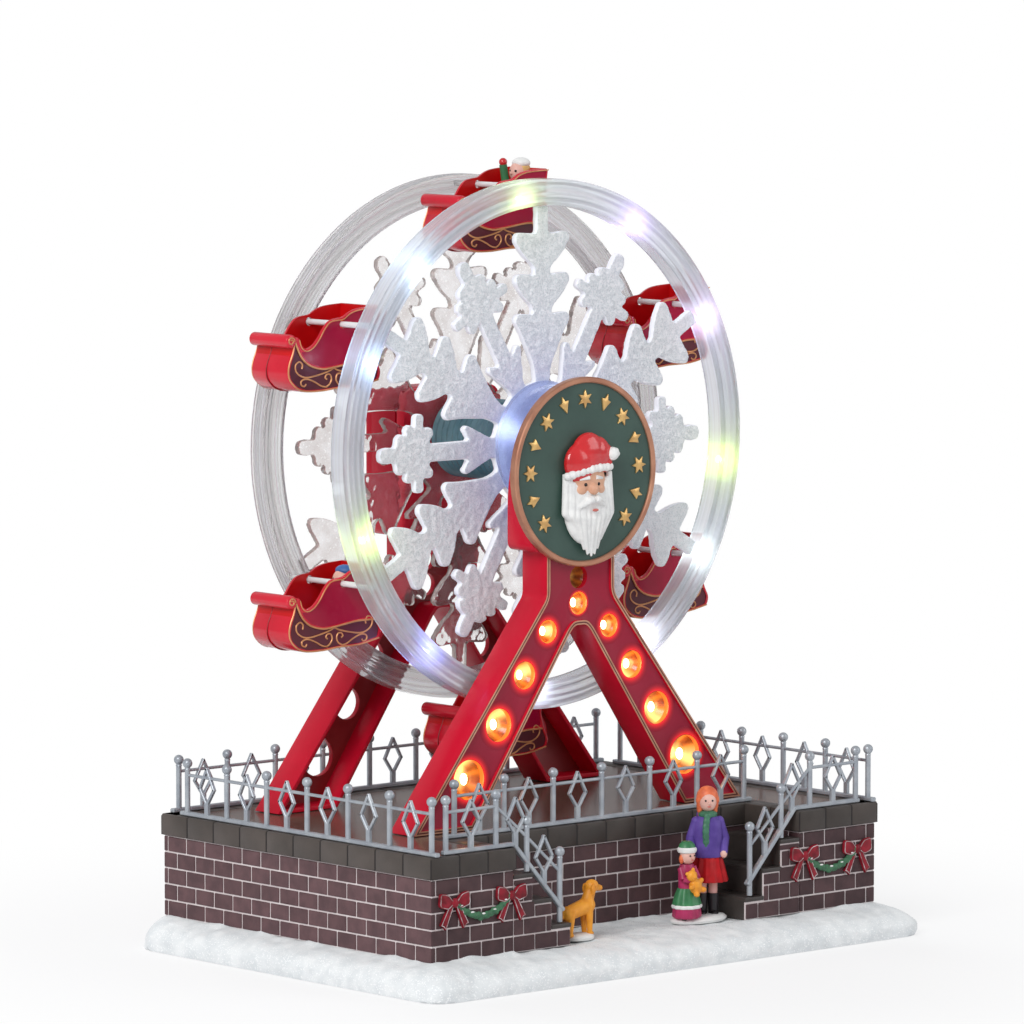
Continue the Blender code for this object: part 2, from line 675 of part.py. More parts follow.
def make_fences():
    """Silver railings round the deck, and two that follow the stairs down."""
    line = COPING_W / 2 - COPING_LIP - FENCE_INSET
    base = DECK_Z + GAP
    side_x = HALF_W - line
    run = (SIDE_POSTS - 1) * SIDE_SPACING
    side_y = FRONT_Y + line + run / 2
    for name, x in (("left_fence", -side_x), ("right_fence", side_x)):
        panel = turned(level_fence(SIDE_POSTS, SIDE_SPACING), 90, "Z")
        node(name, panel, SILVER, None, (x, side_y, base))
    back_spacing = (HOUSING_W - 2 * BACK_CORNER) / (BACK_POSTS - 1)
    node("back_fence", level_fence(BACK_POSTS, back_spacing), SILVER, None, (0.0, BACK_Y - line, base))
    middle_spacing = (RECESS_W + 2 * MIDDLE_OVERHANG) / (MIDDLE_POSTS - 1)
    middle = level_fence(MIDDLE_POSTS, middle_spacing)
    node("middle_fence", middle, SILVER, None, (0.0, RECESS_Y + line, base))
    brink = HALF_RECESS - COPING_LIP
    slope = STEP_RISE / STEP_RUN
    foot = RAIL_FOOT_H / 2
    lift = foot * math.hypot(1.0, slope) + GAP

    def fall(u):
        return lift - (brink - u) * slope

    first = HALF_W - WING_CORNER
    second, third, last = (HALF_RECESS + u for u in WING_POSTS)
    posts = [(first, 0.0, BALL_Z), (second, 0.0, BALL_Z), (third, -STEP_RISE, LOW_BALLS[0]),
             (last, -STEPS * STEP_RISE, LOW_BALLS[1])]
    over_stairs = [HALF_RECESS + u for u in WING_PICKETS]
    pickets = [((first + second) / 2, 0.0)] + [(u, fall(u) - foot) for u in over_stairs]
    end = last - 0.0016
    foot_rail = [(first + 0.0015, foot), (brink - (lift - foot) / slope, foot), (end, fall(end))]
    top_rail = [(first, RAIL_TOP_Z), (second, RAIL_TOP_Z), (third, LOW_RAIL[0]), (last, LOW_RAIL[1])]
    wing_y = FRONT_Y + line
    node("right_wing_fence", fence(posts, pickets, foot_rail, top_rail), SILVER, None, (0.0, wing_y, base))
    node("left_wing_fence", mirrored(fence(posts, pickets, foot_rail, top_rail), "X"), SILVER, None,
         (0.0, wing_y, base))


def head_outline(margin):
    """Outline of the round-cornered head that carries the shaft, about the axle."""
    return rounded(-HEAD_HALF + margin, HEAD_HALF - margin, -HEAD_LOW + margin, HEAD_TOP - margin,
                   max(0.001, HEAD_CORNER - margin), 3)


def leg_outline():
    """Outline of neck and two splayed legs about the axle, anticlockwise."""
    foot = -AXLE_H + GAP
    shoulder = -HEAD_LOW - NECK_H
    outer_foot = NECK_HALF + LEG_OUT * (shoulder - foot)
    crotch = -CROTCH_DROP
    inner_top = crotch - 0.0022
    inner_foot = CROTCH_HALF + LEG_IN * (inner_top - foot)
    top = -HEAD_LOW + 0.002
    right = [(inner_foot, foot), (outer_foot, foot), (NECK_HALF, shoulder), (NECK_HALF, top)]
    left = [(-x, z) for x, z in reversed(right)]
    arch = [(-CROTCH_HALF, inner_top), (-CROTCH_HALF * 0.55, crotch), (CROTCH_HALF * 0.55, crotch),
            (CROTCH_HALF, inner_top)]
    return right + left + arch


def channel(outline_a, outline_b, hole_rows):
    """Two overlapping outlines as one channel section: panel in front, open behind."""
    body = union(prism(outline_a, -FRAME_OUT, -FRAME_IN), prism(outline_b, -FRAME_OUT, -FRAME_IN))
    inner_a = inset(outline_a, FRAME_WALL)
    inner_b = inset(outline_b, FRAME_WALL)
    neck = [(-NECK_HALF + FRAME_WALL, -HEAD_LOW - 0.004), (NECK_HALF - FRAME_WALL, -HEAD_LOW - 0.004),
            (NECK_HALF - FRAME_WALL, -HEAD_LOW + 0.006), (-NECK_HALF + FRAME_WALL, -HEAD_LOW + 0.006)]
    behind = (-PANEL_IN, -FRAME_IN + 0.01)
    hollow = union(prism(inner_a, *behind), prism(inner_b, *behind), prism(neck, *behind))
    before = (-FRAME_OUT - 0.01, -PANEL_OUT)
    face = prism(inset(outline_b, FRAME_WALL * 0.8), *before)
    holes = []
    for x, drop, radius in hole_rows:
        for side in ((-1, 1) if x else (1,)):
            hole = round_bar(radius, -FRAME_OUT - 0.01, -FRAME_IN - 0.001, 12)
            holes.append(moved(hole, (side * x, 0.0, -drop)))
    return cut(body, hollow, face, group(holes))


def make_frames(axle):
    """Red A-frames on both sides of the wheel, their open backs facing it."""
    rows = LAMP_HOLES + NECK_HOLES
    bore = round_bar(BORE_R, -FRAME_OUT - 0.01, -FRAME_IN + 0.01, 12)
    front = cut(channel(head_outline(0.0), leg_outline(), rows), bore)
    node("front_frame", front, RED, None, axle)
    rear = mirrored(channel(head_outline(0.0), leg_outline(), rows), "Y")
    window = prism(head_outline(0.0045), PANEL_IN - 0.001, FRAME_OUT + 0.001)
    node("rear_frame", cut(rear, window), RED, None, axle)


def make_heads(axle):
    """Covers that close the two heads and carry the shaft, and the motor with its gears."""
    lid = prism(head_outline(FRAME_WALL + GAP), -FRAME_IN - 0.0024, -FRAME_IN - GAP)
    boss = round_bar(0.0050, -FRAME_IN - 0.0044, -FRAME_IN - 0.0010, 12)
    bore = round_bar(BORE_R, -FRAME_OUT, -FRAME_IN + 0.01, 12)
    node("front_head_cover", cut(union(lid, boss), bore), RED, None, axle)
    near = FRAME_IN - GAP - COVER_D
    far = FRAME_IN - GAP
    cup = cut(prism(head_outline(0.0), near, far),
              prism(head_outline(FRAME_WALL), near + FRAME_WALL, far + 0.01))
    boss = round_bar(0.0050, near + 0.0005, near + 0.0036, 12)
    bore = round_bar(BORE_R, near - 0.01, far + 0.01, 12)
    node("gear_cover", cut(union(cup, boss), bore), RED, None, axle)
    near = FRAME_OUT + GAP
    far = near + COVER_D
    cap = cut(prism(head_outline(0.0010), near, far),
              prism(head_outline(0.0026), near - 0.01, far - FRAME_WALL))
    node("motor_cover", cap, RED, None, axle)
    gear_y = FRAME_IN + 0.0012
    motor_y = gear_y + GEAR_T + 0.0018
    can = round_bar(MOTOR_R, motor_y, far - FRAME_WALL - GAP, 20)
    nose = round_bar(0.0032, motor_y - 0.0012, motor_y + 0.0010, 12)
    socket = round_bar(PINION_SHAFT_R + GAP, motor_y - 0.01, motor_y + 0.0030, 8)
    motor = moved(cut(union(can, nose), socket), (0.0, 0.0, -GEAR_DROP))
    node("gear_motor", motor, STEEL, None, axle)
    return gear_y, motor_y


def gear(teeth, first_tooth):
    """Outline of a spur gear with straight flanks; first_tooth is a tooth's angle in degrees."""
    pitch_r = GEAR_MODULE * teeth / 2
    root = pitch_r - 1.20 * GEAR_MODULE
    tip = pitch_r + 0.85 * GEAR_MODULE
    half_root = 0.94 * GEAR_MODULE / root
    half_tip = 0.32 * GEAR_MODULE / tip
    points = []
    for i in range(teeth):
        middle = math.radians(first_tooth) + math.tau * i / teeth
        for radius, shift in ((root, -half_root), (tip, -half_tip), (tip, half_tip), (root, half_root)):
            points.append((radius * math.cos(middle + shift), radius * math.sin(middle + shift)))
    return points


def make_gears(wheel, axle, gear_y, motor_y):
    """The wheel's drive gear and the motor pinion below it, in mesh at rest."""
    half_pitch = 180.0 / GEAR_TEETH
    blank = prism(gear(GEAR_TEETH, 270.0 + half_pitch), gear_y, gear_y + GEAR_T)
    bore = round_bar(BORE_R, gear_y - 0.01, gear_y + GEAR_T + 0.01, 12)
    windows = []
    for i in range(4):
        window = round_bar(0.0028, gear_y - 0.01, gear_y + GEAR_T + 0.01, 8)
        windows.append(turned(moved(window, (0.0078, 0.0, 0.0)), 90 * i + 45, "Y"))
    node("drive_gear", cut(blank, bore, group(windows)), WHITE, wheel)
    spin = pivot("pinion_axis", (axle[0], axle[1], axle[2] - GEAR_DROP))
    teeth = prism(gear(PINION_TEETH, 90.0), gear_y, gear_y + GEAR_T)
    stub = round_bar(PINION_SHAFT_R, gear_y + GEAR_T - 0.001, motor_y + 0.0028, 8)
    node("pinion", union(teeth, stub), WHITE, spin)


def make_sign(axle):
    """Round sign on the front head, with a capped and bearded head in relief."""
    back = -FRAME_OUT - GAP
    front = back - SIGN_T
    field = front + SIGN_SUNK
    rim = SIGN_R - SIGN_RIM
    at = (axle[0], axle[1], axle[2] - SIGN_DROP)
    disc = turned_ring([(SIGN_R, back), (SIGN_R, front), (rim, front), (rim - 0.0006, field),
                        (0.0002, field), (0.0002, back)], 32)
    node("sign_disc", disc, GREEN, None, at)
    face = field - GAP
    beard = [(-0.0125, 0.0000), (-0.0130, -0.0120), (-0.0110, -0.0225), (-0.0055, -0.0300), (0.0015, -0.0315),
             (0.0075, -0.0285), (0.0115, -0.0210), (0.0130, -0.0110), (0.0120, 0.0000)]
    cap = [(-0.0125, -0.0005), (0.0120, 0.0015), (0.0115, 0.0080), (0.0060, 0.0145), (-0.0020, 0.0150),
           (-0.0095, 0.0105)]
    beard_body = prism(beard, face - 0.0042, face)
    cap_body = prism(cap, face - 0.0050, face)
    nose = egg((0.0085, 0.0058, 0.0070), (0.0005, face - 0.0015, -0.0070), 10, 6)
    keep = block((-0.05, face - 0.02, -0.05), (0.05, face, 0.05))
    pompom = egg((0.0027, 0.0027, 0.0032), (0.0125, face - 0.0028, 0.0045), 8, 5)
    relief = union(beard_body, cap_body, nose, pompom)
    node("sign_head", combine(relief, [keep], "INTERSECT"), WHITE, None, at)


def make_lamp_string(axle):
    """Warm bulbs in the front frame's holes, clipped on one cable behind the panel."""
    half = 0.0007
    y = -PANEL_IN + GAP + half
    legs = [(x, -drop) for x, drop, _ in LAMP_HOLES]
    legs.append((LAMP_HOLES[-1][0] + 0.0125, -AXLE_H + FRAME_WALL + 2 * GAP))
    top = -NECK_HOLES[0][1]
    fork = -NECK_HOLES[1][1]
    over = [(x, z + 2 * half) for x, z in legs]
    under = [(x, z - 2 * half) for x, z in legs[:-1]] + [(legs[-1][0] - 4 * half, legs[-1][1])]
    riser = [(half, fork + half), (half, top), (-half, top), (-half, fork + half)]
    strip = [(0.0, fork - 2 * half)] + under + over[::-1] + riser
    strip += [(-x, z) for x, z in over] + [(-x, z) for x, z in under[::-1]]
    cable = prism(strip, y - half, y + half)
    places = [(0.0, top), (0.0, fork)] + [(side * x, z) for x, z in legs[:-1] for side in (-1, 1)]
    bulbs = [egg((BULB_R, 0.0023, BULB_R), (x, -PANEL_OUT + 0.0018, z), 6, 3) for x, z in places]
    node("frame_lamps", union(cable, group(bulbs)), LAMP, None, axle)


def rim_profile(front):
    """Channel section of a rim: ribbed web on the outside, open towards the wheel's middle."""
    inner = RIM_R - RIM_W
    face = -RIM_D / 2
    points = [(inner, -face), (inner, face)]
    pitch = RIM_W / RIM_RIBS
    for i in range(RIM_RIBS):
        start = inner + i * pitch
        points.append((start + 0.5 * pitch, face - RIM_RIB_H))
        points.append((start + pitch, face))
    points += [(RIM_R, -face), (RIM_R - RIM_WALL, -face), (RIM_R - RIM_WALL, face + RIM_WALL),
               (inner + RIM_WALL, face + RIM_WALL), (inner + RIM_WALL, -face)]
    side = 1 if front else -1
    return [(r, side * (y - RIM_Y)) for r, y in points]


def polar(radius, degrees, sideways=0.0):
    """Return the XZ point at a radius and an angle, shifted sideways."""
    a = math.radians(degrees)
    return (radius * math.cos(a) - sideways * math.sin(a), radius * math.sin(a) + sideways * math.cos(a))


def tree_arm():
    """Half outline of a fir-shaped arm as (radius, half width): three tiers, then a stem to the rim."""
    stem = 0.057 * ARM_L
    reach = (RIM_R - RIM_W) * math.cos(math.pi / RIM_SEGMENTS) - GAP
    half = [(HUB_R - 0.006 * ARM_L, 0.065 * ARM_L)]
    for tip, neck in ((0.341, 0.030), (0.583, 0.386), (0.818, 0.630)):
        half += [(HUB_R + neck * ARM_L, 0.068 * ARM_L), (HUB_R + (tip - 0.030) * ARM_L, 0.209 * ARM_L),
                 (HUB_R + (tip + 0.009) * ARM_L, 0.179 * ARM_L)]
    return half + [(HUB_R + 0.848 * ARM_L, stem), (math.sqrt(reach ** 2 - stem ** 2), stem)]


def flake_arm():
    """Half outline of a straight arm with two side branches, ending in a small six-armed flake."""
    stem = 0.048 * ARM_L
    centre = HUB_R + 0.561 * ARM_L
    half = [(HUB_R - 0.003 * ARM_L, stem)]
    branch = ((0.091, 0.048), (0.200, 0.126), (0.233, 0.100), (0.200, 0.048))
    half += [(HUB_R + r * ARM_L, w * ARM_L) for r, w in branch]
    for share, angle in ((0.100, 150), (0.227, 127), (0.227, 113), (0.100, 90), (0.227, 67),
                         (0.227, 53), (0.100, 30), (0.227, 7)):
        a = math.radians(angle)
        half.append((centre + share * ARM_L * math.cos(a), share * ARM_L * math.sin(a)))
    return half


def snowflake():
    """Clear plate of six fir arms and six flake arms about a hub disc, with the shaft's bore."""
    outline = []
    for i in range(ARMS):
        for half, degrees in ((flake_arm(), 60 * i), (tree_arm(), 60 * i + 30)):
            outline += [polar(r, degrees, -w) for r, w in half]
            outline += [polar(r, degrees, w) for r, w in reversed(half)]
            outline.append(polar(HUB_R, degrees + 15))
    plate = prism(outline, -FLAKE_T / 2, FLAKE_T / 2)
    return cut(plate, round_bar(BORE_R, -0.01, 0.01, 12))


def make_wheel(axle):
    """Both rims, plates, the hub between them, the shaft, the light chain and the rods."""
    wheel = pivot("wheel_axis", axle)
    node("front_rim", turned_ring(rim_profile(True), RIM_SEGMENTS), CLEAR, wheel)
    node("rear_rim", turned_ring(rim_profile(False), RIM_SEGMENTS), CLEAR, wheel)
    node("front_snowflake", moved(snowflake(), (0.0, -RIM_Y, 0.0)), FROST, wheel)
    node("rear_snowflake", moved(snowflake(), (0.0, RIM_Y, 0.0)), FROST, wheel)
    end = RIM_Y - FLAKE_T / 2 - GAP
    wall = BARREL_R - WALL
    boss = 0.0055
    web = 0.001
    sleeve = 0.006
    barrel = [(BORE_R, -sleeve), (boss, -sleeve), (boss, -web), (wall, -web), (wall, -end), (BARREL_R, -end),
              (BARREL_R, end), (wall, end), (wall, web), (boss, web), (boss, sleeve), (BORE_R, sleeve)]
    node("hub_barrel", turned_ring(barrel, 18), FROST, wheel)
    near = -(RIM_Y + FLAKE_T / 2 + GAP)
    far = near - LENS_T
    cup = [(BORE_R, far), (HUB_R - 0.002, far), (HUB_R, near), (HUB_R - WALL, near),
           (HUB_R - 0.003, far + WALL), (BORE_R, far + WALL)]
    node("hub_lens", turned_ring(cup, 24), CLEAR, wheel)
    node("wheel_shaft", round_bar(SHAFT_R, -PANEL_OUT, FRAME_IN + 0.0080, 12), STEEL, wheel)
    make_light_chain(wheel)
    reach = RIM_Y + RIM_D / 2 - RIM_WALL - GAP
    for i in range(ARMS):
        x, z = polar(ROD_AT, 30 + 60 * i)
        node(f"rod_{i + 1}", round_bar(ROD_R, -reach, reach, 10), WHITE, wheel, (x, 0.0, z))
    return wheel


def make_light_chain(wheel):
    """Coloured lamps along one wire that lies in the front rim's channel."""
    wire_r = 0.0005
    floor = -RIM_Y - RIM_D / 2 + RIM_WALL + GAP
    top = floor + 2 * wire_r
    ring = turned_ring([(LAMP_AT - wire_r, floor), (LAMP_AT + wire_r, floor), (LAMP_AT + wire_r, top),
                        (LAMP_AT - wire_r, top)], 24)
    lamps = []
    for angle in LAMP_ANGLES:
        x, z = polar(LAMP_AT, angle)
        lamps.append(egg((LAMP_R, LAMP_R, LAMP_R), (x, floor + LAMP_R, z), 6, 3))
    node("light_chain", union(ring, group(lamps)), LAMP, wheel)


def sleigh_side():
    """Side outline about the hanging rod, from the scroll over the rails and round the runner."""
    return [(-0.0232, -0.0040), (-0.0212, -0.0006), (-0.0192, -0.0010), (-0.0178, -0.0040), (-0.0142, -0.0060),
            (-0.0108, -0.0046), (-0.0072, 0.0006), (-0.0030, 0.0032), (0.0028, 0.0030), (0.0064, 0.0048),
            (0.0120, 0.0068), (0.0186, 0.0074), (0.0176, 0.0010), (0.0150, -0.0070), (0.0166, -0.0130),
            (0.0191, -0.0172), (0.0180, -0.0208), (0.0080, -0.0228), (-0.0110, -0.0220), (-0.0200, -0.0204),
            (-0.0256, -0.0166), (-0.0274, -0.0120), (-0.0256, -0.0080)]


def seat_space():
    """Outline of the space inside the body, open at the top."""
    return [(-0.0205, 0.0300), (-0.0205, -0.0040), (-0.0230, -0.0080), (-0.0246, -0.0120), (-0.0232, -0.0156),
            (-0.0185, -0.0188), (-0.0100, -0.0204), (0.0080, -0.0206), (0.0118, -0.0190), (0.0134, -0.0070),
            (0.0158, 0.0020), (0.0168, 0.0300)]


def sleigh():
    """Bucket body with rolled nose, hung on a rod through its two sides."""
    half = SLEIGH_W / 2
    outline = list(reversed(sleigh_side()))
    body = prism(outline, -half, half)
    space = prism(seat_space(), -half + SLEIGH_WALL, half - SLEIGH_WALL)
    roll = moved(round_bar(ROLL_R, -half - 0.0004, half + 0.0004, 8), (-0.0240, 0.0, -0.0018))
    bore = round_bar(ROD_R + GAP, -2 * half, 2 * half, 8)
    return moved(cut(union(body, roll), space, bore), (0.0, SLEIGH_BACK, 0.0))


def make_sleighs(wheel):
    """Six sleighs hanging level from the rods, two with a rider."""
    mesh_source = sleigh()
    for i in range(ARMS):
        x, z = polar(ROD_AT, 30 + 60 * i)
        node(f"sleigh_{i + 1}", mesh_source.copy(), SLEIGH_RED, wheel, (x, 0.0, z))
    mesh_source.free()
    seat = -0.0197
    riders = (("top_rider", 1, GREEN, 0.0185, True), ("side_rider", 3, PURPLE, 0.01525, False))
    for name, i, material, sitting, waves in riders:
        x, z = polar(ROD_AT, 30 + 60 * i)
        shoulder = seat + sitting
        coat = stack([(seat, 0.0034, 0.0050, 0.0054, 0.0), (seat + 0.0060, 0.0040, 0.0056, 0.0056, 0.0),
                      (shoulder, 0.0034, 0.0044, 0.0078, 0.0),
                      (shoulder + 0.0020, 0.0016, 0.0018, 0.0080, 0.0)])
        skull = egg((0.0042, 0.0042, 0.0046), (0.0078, 0.0, shoulder + 0.0050), 8, 6)
        parts = [coat, skull]
        if waves:
            wrist = (0.0026, 0.0052, shoulder + 0.0085)
            parts.append(limb((0.0062, 0.0038, shoulder - 0.002), wrist, 0.0017, 0.0013))
            parts.append(egg((0.0017, 0.0017, 0.0019), (0.0024, 0.0053, shoulder + 0.0095), 6, 4))
        node(name, moved(union(*parts), (0.0, SLEIGH_BACK, 0.0)), material, wheel, (x, 0.0, z))


def make_figures():
    """Adult and child on one small base, and a dog on its own."""
    ground = TRAY_H + GAP
    base = stack([(0.0, 0.0126, 0.0072, 0.0, 0.0), (0.0012, 0.0130, 0.0076, 0.0, 0.0),
                  (0.0022, 0.0120, 0.0066, 0.0, 0.0)], 12)
    adult = stack([(0.0150, 0.0062, 0.0054, 0.004, 0.0010), (0.0235, 0.0045, 0.0038, 0.004, 0.0010),
                   (0.0240, 0.0058, 0.0046, 0.004, 0.0010), (0.0340, 0.0052, 0.0040, 0.004, 0.0010),
                   (0.0385, 0.0046, 0.0034, 0.004, 0.0010), (0.0400, 0.0016, 0.0016, 0.004, 0.0010),
                   (0.0415, 0.0016, 0.0016, 0.004, 0.0010)])
    adult_head = egg((0.0040, 0.0038, 0.0052), (0.004, 0.0012, 0.0455), 8, 6)
    legs = [limb((0.004 + s * 0.0022, 0.001, 0.0012), (0.004 + s * 0.0020, 0.001, 0.0160), 0.0020, 0.0018)
            for s in (-1, 1)]
    arms = [limb((0.0078, 0.001, 0.0370), (0.0086, -0.001, 0.0255), 0.0018, 0.0015),
            limb((0.0002, 0.001, 0.0370), (-0.0028, -0.002, 0.0275), 0.0018, 0.0014)]
    child = stack([(0.0012, 0.0038, 0.0036, -0.0080, -0.0022), (0.0040, 0.0050, 0.0046, -0.0080, -0.0022),
                   (0.0120, 0.0046, 0.0040, -0.0080, -0.0022), (0.0165, 0.0034, 0.0030, -0.0080, -0.0022),
                   (0.0225, 0.0034, 0.0030, -0.0080, -0.0022), (0.0240, 0.0014, 0.0014, -0.0080, -0.0022)])
    child_head = egg((0.0034, 0.0034, 0.0040), (-0.0080, -0.0022, 0.0265), 8, 6)
    toy = egg((0.0026, 0.0022, 0.0046), (-0.0084, -0.0062, 0.0165), 6, 4)
    pair = union(base, adult, adult_head, *legs, *arms, child, child_head, toy)
    foot_of_stairs = HALF_RECESS - GAP - STEPS * STEP_RUN
    pair_at = (foot_of_stairs - PAIR_CLEAR, FRONT_Y + 0.0105, ground)
    node("figure_pair", pair, PURPLE, None, pair_at)
    pad = stack([(0.0, 0.0062, 0.0045, 0.0, 0.0), (0.0012, 0.0062, 0.0045, 0.0, 0.0),
                 (0.0020, 0.0054, 0.0038, 0.0, 0.0)], 10)
    trunk = limb((-0.0062, 0.0, 0.0105), (0.0042, 0.0, 0.0130), 0.0034, 0.0036, 8)
    neck = limb((0.0035, 0.0, 0.0130), (0.0062, 0.0, 0.0200), 0.0028, 0.0022)
    snout = limb((0.0050, 0.0, 0.0212), (0.0112, 0.0, 0.0196), 0.0027, 0.0013)
    legs = [limb((x, s * 0.0016, 0.0010), (x + 0.0004, s * 0.0016, 0.0115), 0.0012, 0.0015)
            for x in (-0.0050, 0.0035) for s in (-1, 1)]
    tail = limb((-0.0058, 0.0, 0.0120), (-0.0092, 0.0, 0.0070), 0.0011, 0.0006)
    dog_at = (DOG_CLEAR - foot_of_stairs, FRONT_Y + 0.0075, ground)
    node("dog", union(pad, trunk, neck, snout, *legs, tail), AMBER, None, dog_at)


def bow(x, z):
    """A tied bow: two loops, a knot and two tails, as overlapping outlines."""
    shapes = []
    for s in (-1, 1):
        loop = [(x, z), (x + s * 0.0030, z + 0.0034), (x + s * 0.0070, z + 0.0042),
                (x + s * 0.0074, z - 0.0010), (x + s * 0.0032, z - 0.0022)]
        tail = [(x, z), (x + s * 0.0020, z + 0.0006), (x + s * 0.0068, z - 0.0078),
                (x + s * 0.0042, z - 0.0096)]
        depth = 0.0016 if s < 0 else 0.00165
        shapes.append(prism(loop if s < 0 else loop[::-1], -depth, 0.0))
        shapes.append(prism(tail if s > 0 else tail[::-1], -depth + 0.0003, 0.0))
    knot = block((x - 0.0016, -0.0021, z - 0.0018), (x + 0.0016, 0.0, z + 0.0020))
    return union(knot, *shapes)


def make_garlands():
    """Two red bows joined by a green swag on each wing's front wall."""
    for name, side in (("left_garland", -1), ("right_garland", 1)):
        half = 0.0138
        drop = 0.0058
        steps = 6
        top = []
        low = []
        for i in range(steps + 1):
            t = i / steps * 2 - 1
            top.append((half * t, -drop * (1 - t * t) + 0.0010))
            low.append((half * t, -drop * (1 - t * t) - 0.0024 + 0.0010 * t * t))
        swag = prism(low + top[::-1], -0.0014, 0.0)
        whole = union(swag, bow(-half, 0.0), bow(half, 0.0))
        at = (side * 0.0879, FRONT_Y - GAP, HOUSING_Z + 0.0215)
        node(name, whole, RED, None, at)


def build():
    """Make every piece."""
    clear_scene()
    axle = (0.0, WHEEL_Y, AXLE_Z)
    make_snow_tray()
    make_bottom_plate()
    make_battery_bay()
    make_housing()
    make_stairs()
    make_deck()
    make_fences()
    make_frames(axle)
    gear_y, motor_y = make_heads(axle)
    wheel = make_wheel(axle)
    make_gears(wheel, axle, gear_y, motor_y)
    make_sign(axle)
    make_lamp_string(axle)
    make_sleighs(wheel)
    make_figures()
    make_garlands()


build()
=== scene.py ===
"""Looks of the table-top winter ferris wheel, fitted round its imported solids."""
import math
import random

import bmesh
import bpy
from mathutils import Matrix, Vector, noise


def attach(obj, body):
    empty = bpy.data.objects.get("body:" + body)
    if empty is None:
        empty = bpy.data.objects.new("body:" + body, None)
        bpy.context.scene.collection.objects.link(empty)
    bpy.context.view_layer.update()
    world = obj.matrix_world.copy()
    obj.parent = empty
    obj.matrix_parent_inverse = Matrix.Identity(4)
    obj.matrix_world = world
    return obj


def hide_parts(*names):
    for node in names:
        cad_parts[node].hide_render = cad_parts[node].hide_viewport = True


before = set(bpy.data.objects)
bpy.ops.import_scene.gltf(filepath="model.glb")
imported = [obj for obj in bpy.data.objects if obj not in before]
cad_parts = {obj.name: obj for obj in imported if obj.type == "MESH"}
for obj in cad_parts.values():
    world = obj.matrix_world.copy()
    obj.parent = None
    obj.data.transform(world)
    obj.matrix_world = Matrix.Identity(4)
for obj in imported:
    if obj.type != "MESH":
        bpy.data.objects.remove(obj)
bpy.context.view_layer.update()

# Studio. A pale table top, soft lamps round the toy, and a long lens that looks at its left front corner
# from a little above the deck, as the photograph does.
CAMERA_AT = (-1.7521, -1.9699, 0.4229)
CAMERA_YAW = 0.724
CAMERA_PITCH = -0.098
LENS = 246.78
LAMP_AIM = Vector((0.0, 0.0, 0.13))
SHADOW_REACH = (0.14, 0.34)
SHADOW_SHADE = 0.72


def linked(name, data):
    """Put a new object into the scene."""
    made = bpy.data.objects.new(name, data)
    bpy.context.scene.collection.objects.link(made)
    return made


def mesh_of(name, bm):
    """Turn a bmesh into a mesh."""
    mesh = bpy.data.meshes.new(name)
    bm.to_mesh(mesh)
    bm.free()
    return mesh


def added(tree, kind, **values):
    """Add a shader node. Each value goes to its setting of that name, or else to its input."""
    node = tree.nodes.new("ShaderNode" + kind)
    for key, value in values.items():
        if hasattr(node, key):
            setattr(node, key, value)
        else:
            node.inputs[key.replace("_", " ")].default_value = value
    return node


def wired(tree, *pairs):
    """Join outputs to inputs."""
    for output, target in pairs:
        tree.links.new(output, target)


def backdrop_rays(tree):
    """Output that is one for rays from the camera, straight or through clear plastic."""
    rays = added(tree, "LightPath")
    either = added(tree, "Math", operation="MAXIMUM")
    wired(tree, (rays.outputs["Is Camera Ray"], either.inputs[0]),
          (rays.outputs["Is Transmission Ray"], either.inputs[1]))
    return either.outputs[0]


table_white = bpy.data.materials.new("table_white")
table_white.use_nodes = True
tree = table_white.node_tree
tree.nodes.clear()
out = added(tree, "OutputMaterial")
mix = added(tree, "MixShader")
cloth = added(tree, "BsdfDiffuse", Color=(0.85, 0.85, 0.86, 1.0))
glow = added(tree, "Emission")
part = added(tree, "Math", operation="MULTIPLY")
spot = added(tree, "TexCoord")
away = added(tree, "VectorMath", operation="LENGTH")
fade = added(tree, "MapRange", interpolation_type="SMOOTHSTEP", From_Min=SHADOW_REACH[0],
             From_Max=SHADOW_REACH[1], To_Min=SHADOW_SHADE)
wired(tree, (spot.outputs["Object"], away.inputs[0]), (away.outputs["Value"], fade.inputs["Value"]),
      (backdrop_rays(tree), part.inputs[0]), (fade.outputs["Result"], part.inputs[1]),
      (part.outputs[0], mix.inputs["Fac"]), (cloth.outputs[0], mix.inputs[1]),
      (glow.outputs[0], mix.inputs[2]), (mix.outputs[0], out.inputs["Surface"]))
table = bmesh.new()
bmesh.ops.create_grid(table, x_segments=1, y_segments=1, size=40.0)
table_top = linked("table_top", mesh_of("table_top", table))
table_top.data.materials.append(table_white)
table_top.location.z = -0.0002

world = bpy.data.worlds.new("studio")
bpy.context.scene.world = world
world.use_nodes = True
sky = world.node_tree
dim = sky.nodes["Background"]
dim.inputs["Color"].default_value = (0.55, 0.56, 0.58, 1.0)
dim.inputs["Strength"].default_value = 0.75
white = added(sky, "Background", Color=(1.0, 1.0, 1.0, 1.0))
sky_mix = added(sky, "MixShader")
wired(sky, (backdrop_rays(sky), sky_mix.inputs["Fac"]), (dim.outputs[0], sky_mix.inputs[1]),
      (white.outputs[0], sky_mix.inputs[2]),
      (sky_mix.outputs[0], sky.nodes["World Output"].inputs["Surface"]))

